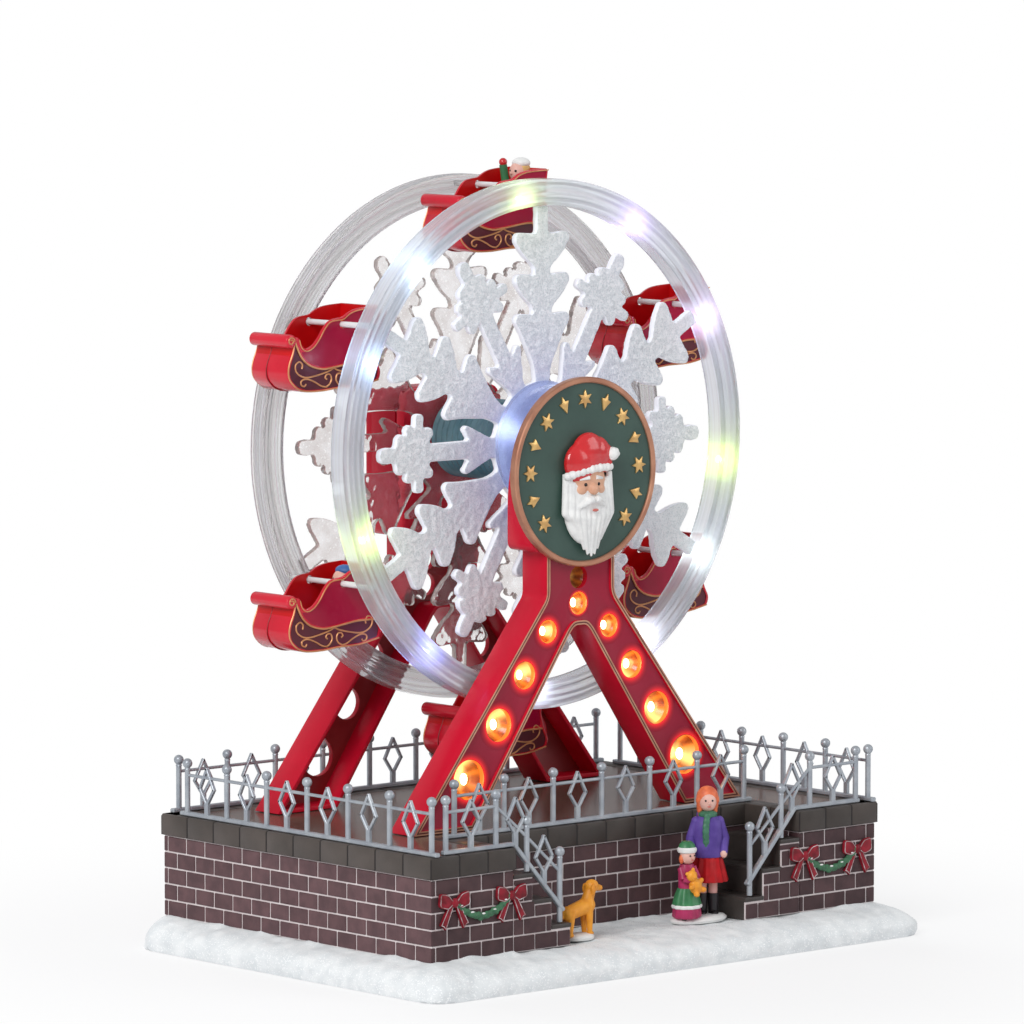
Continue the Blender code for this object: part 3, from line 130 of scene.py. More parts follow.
for lamp_name, place, size, power in (
    ("key_lamp", (-1.7, -0.75, 1.3), 1.0, 30.0),
    ("fill_lamp", (1.3, -1.4, 0.9), 1.2, 9.0),
    ("back_lamp", (0.2, 1.5, 1.3), 1.0, 14.0),
):
    light = bpy.data.lights.new(lamp_name, "AREA")
    light.size = size
    light.energy = power
    lamp = linked(lamp_name, light)
    lamp.location = place
    lamp.rotation_mode = "QUATERNION"
    lamp.rotation_quaternion = (LAMP_AIM - Vector(place)).to_track_quat("-Z", "Y")
    lamp.visible_transmission = False
    lamp.visible_glossy = lamp_name != "back_lamp"

camera_data = bpy.data.cameras.new("camera")
camera_data.lens = LENS
camera_data.sensor_width = 36.0
camera_data.clip_end = 20.0
camera = linked("camera", camera_data)
camera.location = CAMERA_AT
camera.rotation_euler = (math.pi / 2 + CAMERA_PITCH, 0.0, -CAMERA_YAW)
bpy.context.scene.camera = camera
bpy.context.scene.view_settings.view_transform = "Standard"

# Snow tray. The toy stands on a moulded plastic tray that is flocked and painted as trodden snow, with soft
# lumps, a rolled edge, fine glitter and a little bank against the foot of the walls.
TRAY_TOP = 0.0115
WALL_X = 0.1117
WALL_FRONT = -0.0706
WALL_BACK = 0.0831
RECESS_X = 0.0725
RECESS_BACK = -0.0406
LUMPS = ((70.0, 0.0009), (260.0, 0.0004))
BANK_REACH = 0.0035
BANK_HEIGHT = 0.0013
SOFT = 60.0


def surface(name, colour, roughness, second=None, grain=60.0, bump=0.0, bump_scale=900.0, metallic=0.0,
            coat=0.0, transmission=0.0, ior=1.45, specular=0.5):
    """Painted or moulded surface whose colour drifts between two shades, with a fine surface grain."""
    material = bpy.data.materials.new(name)
    material.use_nodes = True
    tree = material.node_tree
    shader = tree.nodes["Principled BSDF"]
    for key, value in (("Roughness", roughness), ("Metallic", metallic), ("Coat Weight", coat),
                       ("Coat Roughness", 0.12), ("Transmission Weight", transmission), ("IOR", ior),
                       ("Specular IOR Level", specular)):
        shader.inputs[key].default_value = value
    place = added(tree, "TexCoord")
    drift = added(tree, "TexNoise", Scale=grain, Detail=4.0)
    shades = added(tree, "ValToRGB", name="shades")
    darker = second or [c * 0.86 for c in colour]
    for end, position, shade in zip(shades.color_ramp.elements, (0.35, 0.65), (darker, colour)):
        end.position = position
        end.color = (*shade, 1.0)
    wired(tree, (place.outputs["Object"], drift.inputs["Vector"]),
          (drift.outputs["Fac"], shades.inputs["Fac"]),
          (shades.outputs["Color"], shader.inputs["Base Color"]))
    if bump:
        grit = added(tree, "TexNoise", Scale=bump_scale, Detail=3.0)
        relief = added(tree, "Bump", Strength=bump, Distance=0.0003)
        wired(tree, (place.outputs["Object"], grit.inputs["Vector"]),
              (grit.outputs["Fac"], relief.inputs["Height"]),
              (relief.outputs["Normal"], shader.inputs["Normal"]))
    return material


def sparkle(material, colour, amount, scale):
    """Scatter glitter over a surface: tiny cells that are brighter and glossier than the rest."""
    tree = material.node_tree
    shader = tree.nodes["Principled BSDF"]
    cells = added(tree, "TexVoronoi", Scale=scale)
    pick = added(tree, "SeparateColor")
    limit = added(tree, "Math", operation="GREATER_THAN")
    limit.inputs[1].default_value = 1.0 - amount
    mix = added(tree, "MixRGB", Color2=(*colour, 1.0))
    gloss = added(tree, "MapRange", To_Min=shader.inputs["Roughness"].default_value, To_Max=0.12)
    wired(tree, (tree.nodes["Texture Coordinate"].outputs["Object"], cells.inputs["Vector"]),
          (cells.outputs["Color"], pick.inputs["Color"]), (pick.outputs["Red"], limit.inputs[0]),
          (limit.outputs[0], mix.inputs["Fac"]), (limit.outputs[0], gloss.inputs["Value"]),
          (tree.nodes["shades"].outputs["Color"], mix.inputs["Color1"]),
          (mix.outputs["Color"], shader.inputs["Base Color"]),
          (gloss.outputs["Result"], shader.inputs["Roughness"]))
    return material


def piece(name, bm, materials, body, replaced=(), crease=35.0):
    """Turn a bmesh into a finished piece that rides on one body of the model."""
    made = linked(name, mesh_of(name, bm))
    for material in materials:
        made.data.materials.append(material)
    made.data.shade_smooth()
    made.data.set_sharp_from_angle(angle=math.radians(crease))
    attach(made, body)
    if replaced:
        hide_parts(*replaced)


def baked(bm, *modifiers):
    """Run modifiers, each a type and its settings, over a bmesh and return the result."""
    blank = linked("blank", mesh_of("blank", bm))
    for kind, settings in modifiers:
        step = blank.modifiers.new(kind, kind)
        for key, value in settings.items():
            setattr(step, key, value)
    graph = bpy.context.evaluated_depsgraph_get()
    result = bmesh.new()
    result.from_mesh(blank.evaluated_get(graph).to_mesh())
    bpy.data.objects.remove(blank, do_unlink=True)
    return result


def wall_gap(x, y):
    """How far a point of the tray lies outside the foot of the walls."""
    inside = min(WALL_X - abs(x), y - WALL_FRONT, WALL_BACK - y)
    if abs(x) < RECESS_X:
        inside = min(inside, max(y - RECESS_BACK, abs(x) - RECESS_X))
    return -inside


snow_white = sparkle(surface("snow_white", (0.83, 0.85, 0.85), 0.8, (0.72, 0.75, 0.76), 160.0,
                             bump=0.6, bump_scale=1100.0), (0.97, 0.98, 0.98), 0.1, 2600.0)
snow = bmesh.new()
snow.from_mesh(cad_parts["snow_tray"].data)
bmesh.ops.remove_doubles(snow, verts=snow.verts, dist=0.00001)
snow = baked(snow, ("REMESH", {"mode": "VOXEL", "voxel_size": 0.0013}),
             ("SMOOTH", {"factor": 0.7, "iterations": 8}))
for vert in snow.verts:
    x, y, z = vert.co
    if z > 0.0015:
        spot = Vector((x, y, z))
        vert.co += vert.normal * sum(noise.noise(spot * scale) * height for scale, height in LUMPS)
    gap = wall_gap(x, y)
    if z > 0.009 and gap > -0.003:
        near = max(0.0, 1.0 - max(0.0, gap) / BANK_REACH)
        bank = near * (0.6 + noise.noise(Vector((x * 90.0, y * 90.0, 3.0))))
        vert.co.z += BANK_HEIGHT * max(0.0, bank)
    if z <= 0.0004:
        vert.co.z = 0.0
piece("snow_ground", snow, [snow_white], "base", ["snow_tray"], SOFT)

# Brick walls. The housing is one moulded shell; its bricks are raised in running bond, painted dull purple
# brown, and the pale mortar between them is wiped paint.
BRICK_LENGTH = 0.011
BRICK_COURSES = 5
BRICK_FOOT = 0.0118
BRICK_TOP = 0.0424
COURSE = (BRICK_TOP - BRICK_FOOT) / BRICK_COURSES
MORTAR = 0.00064
PROUD = 0.0004
SINK = 0.0002
BOND = (0.82, 0.32)
SHORTEST = 0.0033
PLAN = [(-WALL_X, WALL_FRONT), (-RECESS_X, WALL_FRONT), (-RECESS_X, RECESS_BACK), (RECESS_X, RECESS_BACK),
        (RECESS_X, WALL_FRONT), (WALL_X, WALL_FRONT), (WALL_X, WALL_BACK), (-WALL_X, WALL_BACK)]


def box_at(bm, size, matrix, bevel=0.0, segments=1):
    """Add a box with softened edges under a matrix, and return its vertices."""
    made = bmesh.ops.create_cube(bm, size=1.0, matrix=Matrix.Diagonal((*size, 1.0)))
    corners = made["verts"]
    if bevel:
        edges = list({e for v in corners for e in v.link_edges})
        cut = bmesh.ops.bevel(bm, geom=edges, offset=bevel, segments=segments, profile=0.5, affect="EDGES",
                              material=-1)
        corners = list({v for v in cut["verts"]} | {v for v in corners if v.is_valid})
    bmesh.ops.transform(bm, matrix=matrix, verts=corners)
    return corners


def wall_matrix(start, end, along, height, out=0.0):
    """Place a box on a wall: its X runs along the wall, its Y points inwards."""
    a = Vector((*start, 0.0))
    b = Vector((*end, 0.0))
    run = (b - a).normalized()
    inward = Vector((-run.y, run.x, 0.0))
    spot = a + run * along - inward * out + Vector((0.0, 0.0, height))
    turn = Matrix((run, inward, Vector((0.0, 0.0, 1.0)))).transposed().to_4x4()
    return Matrix.Translation(spot) @ turn


def tone_and_shade_layer(bm):
    """Layer that holds each brick's or slab's random darkness, plus the painted shade of the front."""
    return bm.verts.layers.float.new("tone")


def toned_and_shaded(material, low, high):
    """Let a surface's colour follow each brick's or slab's random darkness and the painted shade of the
    front.
    """
    tree = material.node_tree
    base = tree.nodes["Principled BSDF"].inputs["Base Color"]
    tone = added(tree, "Attribute", attribute_name="tone")
    span = added(tree, "MapRange", To_Min=low, To_Max=high)
    tint = added(tree, "HueSaturation")
    wired(tree, (base.links[0].from_socket, tint.inputs["Color"]),
          (tone.outputs["Fac"], span.inputs["Value"]), (span.outputs["Result"], tint.inputs["Value"]),
          (tint.outputs["Color"], base))
    return material


def coated(material, *nodes):
    """Give CAD nodes that stay in view one material."""
    for node in nodes:
        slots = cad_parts[node].data.materials
        slots.clear()
        slots.append(material)


random.seed(7)
bricks = bmesh.new()
tone = tone_and_shade_layer(bricks)


def tone_and_front_shade(y):
    """A random darkness for a brick or slab, plus painted shade that darkens the front of the base."""
    return 0.35 * random.random() + (0.0 if y < RECESS_BACK + 0.001 else 0.65)


def lay_wall(start, end):
    """Lay courses of bricks along a straight wall, with cut bricks at its ends."""
    length = (Vector(end) - Vector(start)).length
    for course in range(BRICK_COURSES):
        edge = -BRICK_LENGTH * BOND[course % 2]
        while edge < length:
            low = max(edge, -PROUD)
            edge += BRICK_LENGTH
            if edge > length - SHORTEST:
                edge = length + PROUD
            high = edge
            size = high - low - MORTAR
            if size < 0.0008:
                continue
            height = BRICK_FOOT + (course + 0.5) * COURSE
            spot = wall_matrix(start, end, (low + high) / 2, height, PROUD / 2 - SINK)
            verts = box_at(bricks, (size, PROUD + 2 * SINK, COURSE - MORTAR), spot, 0.00022)
            # Bricks on the front walls and round the recess get the painted shade of the front.
            shade = tone_and_front_shade(max(start[1], end[1]))
            for vert in verts:
                vert[tone] = shade


for corner, following in zip(PLAN, PLAN[1:] + PLAN[:1]):
    lay_wall(corner, following)
brick_paint = toned_and_shaded(surface("brick_paint", (0.122, 0.066, 0.07), 0.5, (0.086, 0.048, 0.052), 160.0,
                            bump=0.25, bump_scale=1200.0, specular=0.25), 0.58, 1.25)
mortar_paint = surface("mortar_paint", (0.76, 0.69, 0.68), 0.7, (0.62, 0.54, 0.54), 120.0, bump=0.3)
piece("bricks", bricks, [brick_paint], "base")
coated(mortar_paint, "brick_housing")

# Stairs. Two flights, moulded hollow in the same plastic as the walls, rise from the middle of the recess to
# its left and right. Raised bricks cover their fronts, and darker slabs make the treads.
STEP_EDGES = (0.0443, 0.0536, 0.0629, 0.0722)
STEP_TOPS = (0.0199, 0.0301, 0.0403)
TREAD = 0.0016
STAIR_BOND = (0.95, 0.45)
NARROW = 0.0018
LEAST = 0.0015
stair_bricks = bmesh.new()
tone = tone_and_shade_layer(stair_bricks)
treads = bmesh.new()
for side in (-1, 1):
    for course in range(BRICK_COURSES):
        low = BRICK_FOOT + course * COURSE
        first = STEP_EDGES[-1] - BRICK_LENGTH * STAIR_BOND[course % 2]
        joints = [STEP_EDGES[-1]] + [first - k * BRICK_LENGTH for k in range(3)]
        for outer, inner in zip(joints, joints[1:]):
            cuts = [edge for edge, top in zip(STEP_EDGES[1:-1], STEP_TOPS)
                    if low + COURSE > top - TREAD and inner + NARROW < edge < outer - NARROW]
            marks = [inner] + cuts + [outer]
            for left, right in zip(marks, marks[1:]):
                left = max(left, STEP_EDGES[0])
                step = max([i for i in range(3) if STEP_EDGES[i] < right - NARROW], default=0)
                high = min(low + COURSE, STEP_TOPS[step] - TREAD)
                if high - low < LEAST or right - left < LEAST:
                    continue
                spot = Matrix.Translation((side * (left + right) / 2, WALL_FRONT - 0.0001, (low + high) / 2))
                # Stair bricks face the front and get its painted shade.
                shade = tone_and_front_shade(WALL_FRONT)
                for vert in box_at(stair_bricks, (right - left - MORTAR, 0.0008, high - low - MORTAR), spot,
                                   0.0002):
                    vert[tone] = shade
    for step, top in enumerate(STEP_TOPS):
        inner = STEP_EDGES[step]
        outer = STEP_EDGES[step + 1]
        middle = side * (inner + outer) / 2
        spot = Matrix.Translation((middle - side * 0.0002, (WALL_FRONT + RECESS_BACK) / 2 - 0.0004,
                                   top - TREAD / 2 + 0.0002))
        box_at(treads, (outer - inner + 0.0004, RECESS_BACK - WALL_FRONT, TREAD), spot, 0.0003, 2)
        foot = STEP_TOPS[step - 1] if step else TRAY_TOP
        riser = Matrix.Translation((side * (inner - 0.0001), (WALL_FRONT + RECESS_BACK) / 2,
                                    (foot + top) / 2))
        box_at(treads, (0.0005, RECESS_BACK - WALL_FRONT - 0.0012, top - foot - 0.0004), riser, 0.0001)
slab_paint = surface("slab_paint", (0.055, 0.045, 0.041), 0.42, (0.036, 0.03, 0.027), 90.0, bump=0.15)
piece("stair_bricks", stair_bricks, [brick_paint], "base")
piece("stair_treads", treads, [slab_paint], "base")
coated(mortar_paint, "left_stairs", "right_stairs")

# Coping. A course of plain grey-brown slabs caps the walls and stands out a little over the bricks; thin dark
# joints part the slabs.
COPING_FOOT = 0.0427
DECK_TOP = 0.0505
COPING_DEPTH = 0.0085
COPING_LIP = 0.001
SLAB_JOINT = 0.00045
SLAB_LENGTH = 0.015
slabs = bmesh.new()
tone = tone_and_shade_layer(slabs)
for corner, following in zip(PLAN, PLAN[1:] + PLAN[:1]):
    length = (Vector(following) - Vector(corner)).length + 2 * COPING_LIP
    count = max(1, round(length / SLAB_LENGTH))
    step = length / count
    for i in range(count):
        along = (i + 0.5) * step - COPING_LIP
        spot = wall_matrix(corner, following, along, (COPING_FOOT + DECK_TOP) / 2,
                           COPING_LIP - COPING_DEPTH / 2)
        verts = box_at(slabs, (step - SLAB_JOINT, COPING_DEPTH + 0.0004, DECK_TOP - COPING_FOOT + 0.0003),
                       spot, 0.0006, 2)
        # Slabs on the front walls and round the recess get the painted shade of the front.
        shade = tone_and_front_shade(max(corner[1], following[1]))
        for vert in verts:
            vert[tone] = shade
        bmesh.ops.translate(slabs, verts=verts, vec=(0.0, 0.0, 0.00005 * (i % 2)))
# Corner slabs at the back of the recess, with the painted shade of the front.
for side in (-1, 1):
    spot = Matrix.Translation((side * (RECESS_X + COPING_DEPTH / 2), RECESS_BACK + COPING_DEPTH / 2,
                               (COPING_FOOT + DECK_TOP) / 2 - 0.00004))
    across = COPING_DEPTH - 2 * COPING_LIP + 0.0006
    for vert in box_at(slabs, (across, across, DECK_TOP - COPING_FOOT + 0.0003), spot, 0.0003):
        vert[tone] = 0.2
coping_paint = toned_and_shaded(surface("coping_paint", (0.085, 0.07, 0.062), 0.4, (0.062, 0.052, 0.046), 70.0,
                             bump=0.12, specular=0.3), 0.7, 1.2)
joint_paint = surface("joint_paint", (0.02, 0.016, 0.015), 0.7)
piece("coping_slabs", slabs, [coping_paint], "base")
coated(joint_paint, "coping")

# Deck. One flat moulding fills the top between the copings, and the legs of both frames stand on it. It is
# painted dark brown and glossy, and its colour drifts a little from place to place.
deck_paint = surface("deck_paint", (0.15, 0.098, 0.074), 0.2, (0.105, 0.064, 0.05), 14.0, bump=0.04,
                     bump_scale=120.0, specular=0.14)
coated(deck_paint, "deck")

# Fences. Six silver mouldings stand on the coping: round posts with balls, a thin hand rail, a flat foot
# rail, and between the posts a kite-shaped loop on a stem. Two of them follow the stairs down.
POST_RADIUS = 0.00105
BALL_RADIUS = 0.0019
BALL_HEIGHT = 0.0199
HAND_RAIL = 0.0155
FOOT_RAIL = 0.0008
FENCE_FOOT = DECK_TOP + 0.0003
KITE = ((0.0, 0.0053), (0.0041, 0.0112), (0.0, 0.0188), (-0.0041, 0.0112))


def rod_between(bm, start, end, radius, sides=12, end_radius=None, material=0):
    """Add a round bar between two points, and return its vertices."""
    a = Vector(start)
    b = Vector(end)
    turn = (b - a).to_track_quat("Z", "Y").to_matrix().to_4x4()
    made = bmesh.ops.create_cone(bm, cap_ends=True, segments=sides, radius1=radius,
                                 radius2=radius if end_radius is None else end_radius, depth=(b - a).length,
                                 matrix=Matrix.Translation((a + b) / 2) @ turn)
    for face in {f for v in made["verts"] for f in v.link_faces}:
        face.material_index = material
    return made["verts"]


def ball_at(bm, centre, radius, material=0, sides=16, stretch=(1.0, 1.0, 1.0)):
    """Add a ball or an egg at a point, and return its vertices."""
    made = bmesh.ops.create_uvsphere(bm, u_segments=sides, v_segments=max(6, sides // 2), radius=radius,
                                     matrix=Matrix.Translation(centre) @ Matrix.Diagonal((*stretch, 1.0)))
    for face in {f for v in made["verts"] for f in v.link_faces}:
        face.material_index = material
    return made["verts"]


def flat_bar(bm, start, end, height, depth, bevel=0.00018):
    """Add a flat bar in the XZ plane with softened edges."""
    a = Vector((start[0], 0.0, start[1]))
    b = Vector((end[0], 0.0, end[1]))
    run = (b - a).normalized()
    side = Vector((0.0, 1.0, 0.0))
    turn = Matrix((run, side, run.cross(side))).transposed().to_4x4()
    return box_at(bm, ((b - a).length, depth, height), Matrix.Translation((a + b) / 2) @ turn, bevel)


def fence_post(bm, u, foot, ball):
    """A round post with a collar and a ball."""
    rod_between(bm, (u, 0.0, foot + 0.0004), (u, 0.0, ball), POST_RADIUS, 14)
    rod_between(bm, (u, 0.0, ball - 0.0023), (u, 0.0, ball - 0.0014), 0.0012, 14, 0.0009)
    ball_at(bm, (u, 0.0, ball), BALL_RADIUS)


def fence_kite(bm, u, foot):
    """A kite-shaped loop of flat bars on a stem."""
    points = [(u + x, foot + z) for x, z in KITE]
    for a, b in zip(points, points[1:] + points[:1]):
        reach = (Vector(b) - Vector(a)).normalized() * 0.00045
        flat_bar(bm, Vector(a) - reach, Vector(b) + reach, 0.00105, 0.0014)
    flat_bar(bm, (u, foot + 0.0008), (u, points[0][1] + 0.0008), 0.0021, 0.0015)


def fence(name, posts, kites, foot_rail, hand_rail, place):
    """Build one fence along X from its foot at z = 0, place it, and let it stand for its CAD node."""
    bm = bmesh.new()
    for post in posts:
        fence_post(bm, *post)
    for kite in kites:
        fence_kite(bm, *kite)
    for a, b in zip(foot_rail, foot_rail[1:]):
        flat_bar(bm, a, b, 0.0016, 0.0024, 0.00035)
    for a, b in zip(hand_rail, hand_rail[1:]):
        rod_between(bm, (a[0], 0.0, a[1]), (b[0], 0.0, b[1]), 0.00062, 10)
    for joint in foot_rail[1:-1]:
        ball_at(bm, (joint[0], 0.0, joint[1]), 0.0008, 0, 10, (1.0, 1.45, 1.0))
    for joint in hand_rail[1:-1]:
        ball_at(bm, (joint[0], 0.0, joint[1]), 0.00062, 0, 10)
    bmesh.ops.transform(bm, matrix=place, verts=bm.verts)
    bmesh.ops.recalc_face_normals(bm, faces=bm.faces)
    piece(name + "_rail", bm, [fence_silver], "base", [name])


def level_fence(name, count, spacing, place):
    """A straight fence centred on its place."""
    marks = [(i - (count - 1) / 2) * spacing for i in range(count)]
    reach = 0.0035
    fence(name, [(u, 0.0, BALL_HEIGHT) for u in marks],
          [((a + b) / 2, 0.0) for a, b in zip(marks, marks[1:])],
          [(marks[0] - reach, FOOT_RAIL), (marks[-1] + reach, FOOT_RAIL)],
          [(marks[0], HAND_RAIL), (marks[-1], HAND_RAIL)], place)


fence_silver = surface("fence_silver", (0.43, 0.46, 0.49), 0.36, (0.33, 0.36, 0.4), 220.0, bump=0.25,
                       bump_scale=1500.0, metallic=0.35)
FENCE_X = 0.11005
FENCE_FRONT = -0.06895
SIDE_SPACING = 0.0234
for name, side in (("left_fence", -1), ("right_fence", 1)):
    middle = Matrix.Translation((side * FENCE_X, FENCE_FRONT + 3 * SIDE_SPACING, FENCE_FOOT))
    level_fence(name, 7, SIDE_SPACING, middle @ Matrix.Rotation(math.pi / 2, 4, "Z"))
level_fence("back_fence", 10, 0.0236, Matrix.Translation((0.0, 0.08145, FENCE_FOOT)))
level_fence("middle_fence", 7, 0.0244, Matrix.Translation((0.0, -0.03895, FENCE_FOOT)))
STAIR_SLOPE = 0.0102 / 0.0093
BRINK = RECESS_X - COPING_LIP
STRINGER_LIFT = FOOT_RAIL * math.hypot(1.0, STAIR_SLOPE) + 0.0003


def stringer(u):
    """Height of the sloping foot rail over the stairs."""
    return STRINGER_LIFT - (BRINK - u) * STAIR_SLOPE


POSTS = ((0.1034, 0.0, BALL_HEIGHT), (0.0792, 0.0, BALL_HEIGHT), (0.0642, -0.0102, 0.0089),
         (0.048, -0.0306, -0.0041))
KITES = ((0.0913, 0.0), (0.0698, stringer(0.0698) - FOOT_RAIL), (0.0558, stringer(0.0558) - FOOT_RAIL))
KINK = BRINK - (STRINGER_LIFT - FOOT_RAIL) / STAIR_SLOPE
foot_rail = ((0.1049, FOOT_RAIL), (KINK, FOOT_RAIL), (0.0464, stringer(0.0464)))
hand_rail = [(post[0], height) for post, height in zip(POSTS, (HAND_RAIL, HAND_RAIL, 0.0028, -0.0115))]
for name, side in (("left_wing_fence", -1), ("right_wing_fence", 1)):
    place = Matrix.Translation((0.0, FENCE_FRONT, FENCE_FOOT)) @ Matrix.Diagonal((side, 1.0, 1.0, 1.0))
    fence(name, POSTS, KITES, foot_rail, hand_rail, place)

# Frames. Two red A-frames of moulded channel carry the shaft. The front one has its panel sunk between raised
# borders with thin gold lines, and round holes whose edges glow; the rear one has plain holes.
AXLE = (0.0, 0.0189, 0.1898)
FRAME_IN = 0.03235
FRAME_OUT = 0.04605
PANEL_OUT = 0.04485
PANEL_IN = 0.04255
BORDER = 0.0017
HEAD_HALF = 0.0245
HEAD_TOP = 0.0187
HEAD_LOW = 0.0378
NECK_HALF = 0.017
NECK_LOW = 0.0553
LEG_FOOT = 0.139
OUTER_FOOT = NECK_HALF + 0.785 * (LEG_FOOT - NECK_LOW)
CROTCH_HALF = 0.005
HEAD_ARCH = [(0.0085, HEAD_TOP, 0.006), (0.0178, 0.0092, 0.007), (0.0224, -0.003, 0.008),
             (HEAD_HALF, -0.016, 0.007)]
HEAD_BOX = [(HEAD_HALF, HEAD_TOP, 0.006)]
CROTCH_TOP = 0.0666
BORE = 0.0023
PAST = 0.01
INNER_TOP = 0.0688
INNER_FOOT = CROTCH_HALF + 0.69 * (LEG_FOOT - INNER_TOP)
HOLES = ((0.0, 0.0487, 0.0043), (0.0, 0.0585, 0.0043), (0.0154, 0.0681, 0.0044), (0.027, 0.0837, 0.0052),
         (0.0399, 0.1013, 0.0062), (0.0546, 0.1205, 0.0075))


def rounded_path(points, steps=5):
    """Round each corner of a closed outline given as (x, z, radius)."""
    path = []
    count = len(points)
    for i, (x, z, radius) in enumerate(points):
        here = Vector((x, z))
        if radius <= 0.0:
            path.append(here)
            continue
        back = Vector(points[i - 1][:2]) - here
        ahead = Vector(points[(i + 1) % count][:2]) - here
        reach = min(radius, 0.48 * back.length, 0.48 * ahead.length)
        start = here + back.normalized() * reach
        end = here + ahead.normalized() * reach
        for k in range(steps + 1):
            t = k / steps
            path.append(start * (1 - t) ** 2 + here * 2 * t * (1 - t) + end * t ** 2)
    return path


def drawn_in(points, distance):
    """Move each side of an anticlockwise outline of (x, z, radius) inwards, before its corners are round."""
    result = []
    count = len(points)
    for i, (x, z, radius) in enumerate(points):
        here = Vector((x, z))
        first = (here - Vector(points[i - 1][:2])).normalized()
        second = (Vector(points[(i + 1) % count][:2]) - here).normalized()
        normal_1 = Vector((-first.y, first.x))
        normal_2 = Vector((-second.y, second.x))
        middle = (normal_1 + normal_2).normalized()
        spot = here + middle * distance / max(0.35, middle.dot(normal_1))
        turn = distance if first.cross(second) > 0.0 else -distance
        result.append((spot.x, spot.y, max(0.0002, radius - turn) if radius > 0.0 else 0.0))
    return result


def outward(bm):
    """Turn every face of closed shapes outwards."""
    bmesh.ops.recalc_face_normals(bm, faces=bm.faces)
    if bm.calc_volume(signed=True) < 0.0:
        bmesh.ops.reverse_faces(bm, faces=bm.faces)
    return bm


def plate(path, low, high):
    """Extrude an outline of the XZ plane along Y."""
    bm = bmesh.new()
    face = bm.faces.new([bm.verts.new((x, low, z)) for x, z in path])
    grown = bmesh.ops.extrude_face_region(bm, geom=[face])
    bmesh.ops.translate(bm, vec=(0.0, high - low, 0.0),
                        verts=[v for v in grown["geom"] if isinstance(v, bmesh.types.BMVert)])
    return outward(bm)


def joined(*shapes):
    """Put shapes together in one bmesh."""
    whole = bmesh.new()
    for shape in shapes:
        mesh = mesh_of("part", shape)
        whole.from_mesh(mesh)
        bpy.data.meshes.remove(mesh)
    return whole


def carved(bm, tools, operation="DIFFERENCE"):
    """Cut tools out of a body, or keep only what they share with it."""
    tool = linked("tool", mesh_of("tool", tools))
    result = baked(bm, ("BOOLEAN", {"operation": operation, "solver": "EXACT", "object": tool}))
    bpy.data.objects.remove(tool, do_unlink=True)
    return result


def softened(bm, width, segments=2, angle=35.0):
    """Round the sharp edges of a shape."""
    return baked(bm, ("BEVEL", {"width": width, "segments": segments, "limit_method": "ANGLE",
                                "angle_limit": math.radians(angle)}))


def band(points, inner, outer, low, high):
    """A thin raised line that follows an outline between two insets."""
    bm = bmesh.new()
    rings = [[bm.verts.new((p.x, low, p.y)) for p in rounded_path(drawn_in(points, d))]
             for d in (outer, inner)]
    count = len(rings[0])
    faces = [bm.faces.new((rings[0][i], rings[0][(i + 1) % count], rings[1][(i + 1) % count], rings[1][i]))
             for i in range(count)]
    grown = bmesh.ops.extrude_face_region(bm, geom=faces)
    bmesh.ops.translate(bm, vec=(0.0, high - low, 0.0),
                        verts=[v for v in grown["geom"] if isinstance(v, bmesh.types.BMVert)])
    return outward(bm)


def glowing(material):
    """Let a surface give off the light that its own glow attribute holds."""
    tree = material.node_tree
    shader = tree.nodes["Principled BSDF"]
    light = added(tree, "Attribute", attribute_name="glow")
    wired(tree, (light.outputs["Color"], shader.inputs["Emission Color"]))
    shader.inputs["Emission Strength"].default_value = 1.0
    return material


def glow_by(bm, light):
    """Store on each vertex the light that it gives off, from a function of its place."""
    layer = bm.verts.layers.float_color.new("glow")
    for vert in bm.verts:
        vert[layer] = (*light(vert.co), 1.0)
    return bm


def lit(name, colour, strength, base):
    """Coloured plastic that gives off light: a lamp itself, or painted light or a painted highlight on a
    surface.
    """
    material = surface(name, base, 0.3, base)
    shader = material.node_tree.nodes["Principled BSDF"]
    shader.inputs["Emission Color"].default_value = (*colour, 1.0)
    shader.inputs["Emission Strength"].default_value = strength
    return material


def turned(profile, steps=64):
    """Spin a closed outline of (radius, y) about the Y axis."""
    bm = bmesh.new()
    loop = [bm.verts.new((r, y, 0.0)) for r, y in profile]
    edges = [bm.edges.new((loop[i], loop[(i + 1) % len(loop)])) for i in range(len(loop))]
    bmesh.ops.spin(bm, geom=loop + edges, cent=(0.0, 0.0, 0.0), axis=(0.0, 1.0, 0.0), angle=math.tau,
                   steps=steps, use_merge=True)
    return outward(bm)


def placed(bm, at):
    """Move a shape to its place."""
    bmesh.ops.translate(bm, vec=at, verts=bm.verts)
    return bm


def at_axle(bm, drop=0.0):
    """Move a shape that is built about the axle to its place."""
    bmesh.ops.translate(bm, vec=(AXLE[0], AXLE[1], AXLE[2] - drop), verts=bm.verts)
    return bm


def drum(radius, low, high, x=0.0, z=0.0, sides=40):
    """A cylinder along Y at a place of the XZ plane."""
    bm = bmesh.new()
    rod_between(bm, (x, low, z), (x, high, z), radius, sides)
    return bm


def mirrored(half):
    """Close the right half of an outline with its mirror image, anticlockwise."""
    return (half + [(-x, z, r) for x, z, r in reversed(half)])[::-1]


legs_half = [(NECK_HALF, -HEAD_LOW - 0.001, 0.0), (NECK_HALF, -NECK_LOW, 0.002),
             (OUTER_FOOT, -LEG_FOOT, 0.0004), (INNER_FOOT, -LEG_FOOT, 0.0004),
             (CROTCH_HALF, -INNER_TOP, 0.0015), (CROTCH_HALF * 0.55, -CROTCH_TOP, 0.0015)]
leg_points = mirrored(legs_half)


def head_points(top):
    """Outline of a head under its top."""
    return mirrored(top + [(HEAD_HALF, -HEAD_LOW, 0.005)])


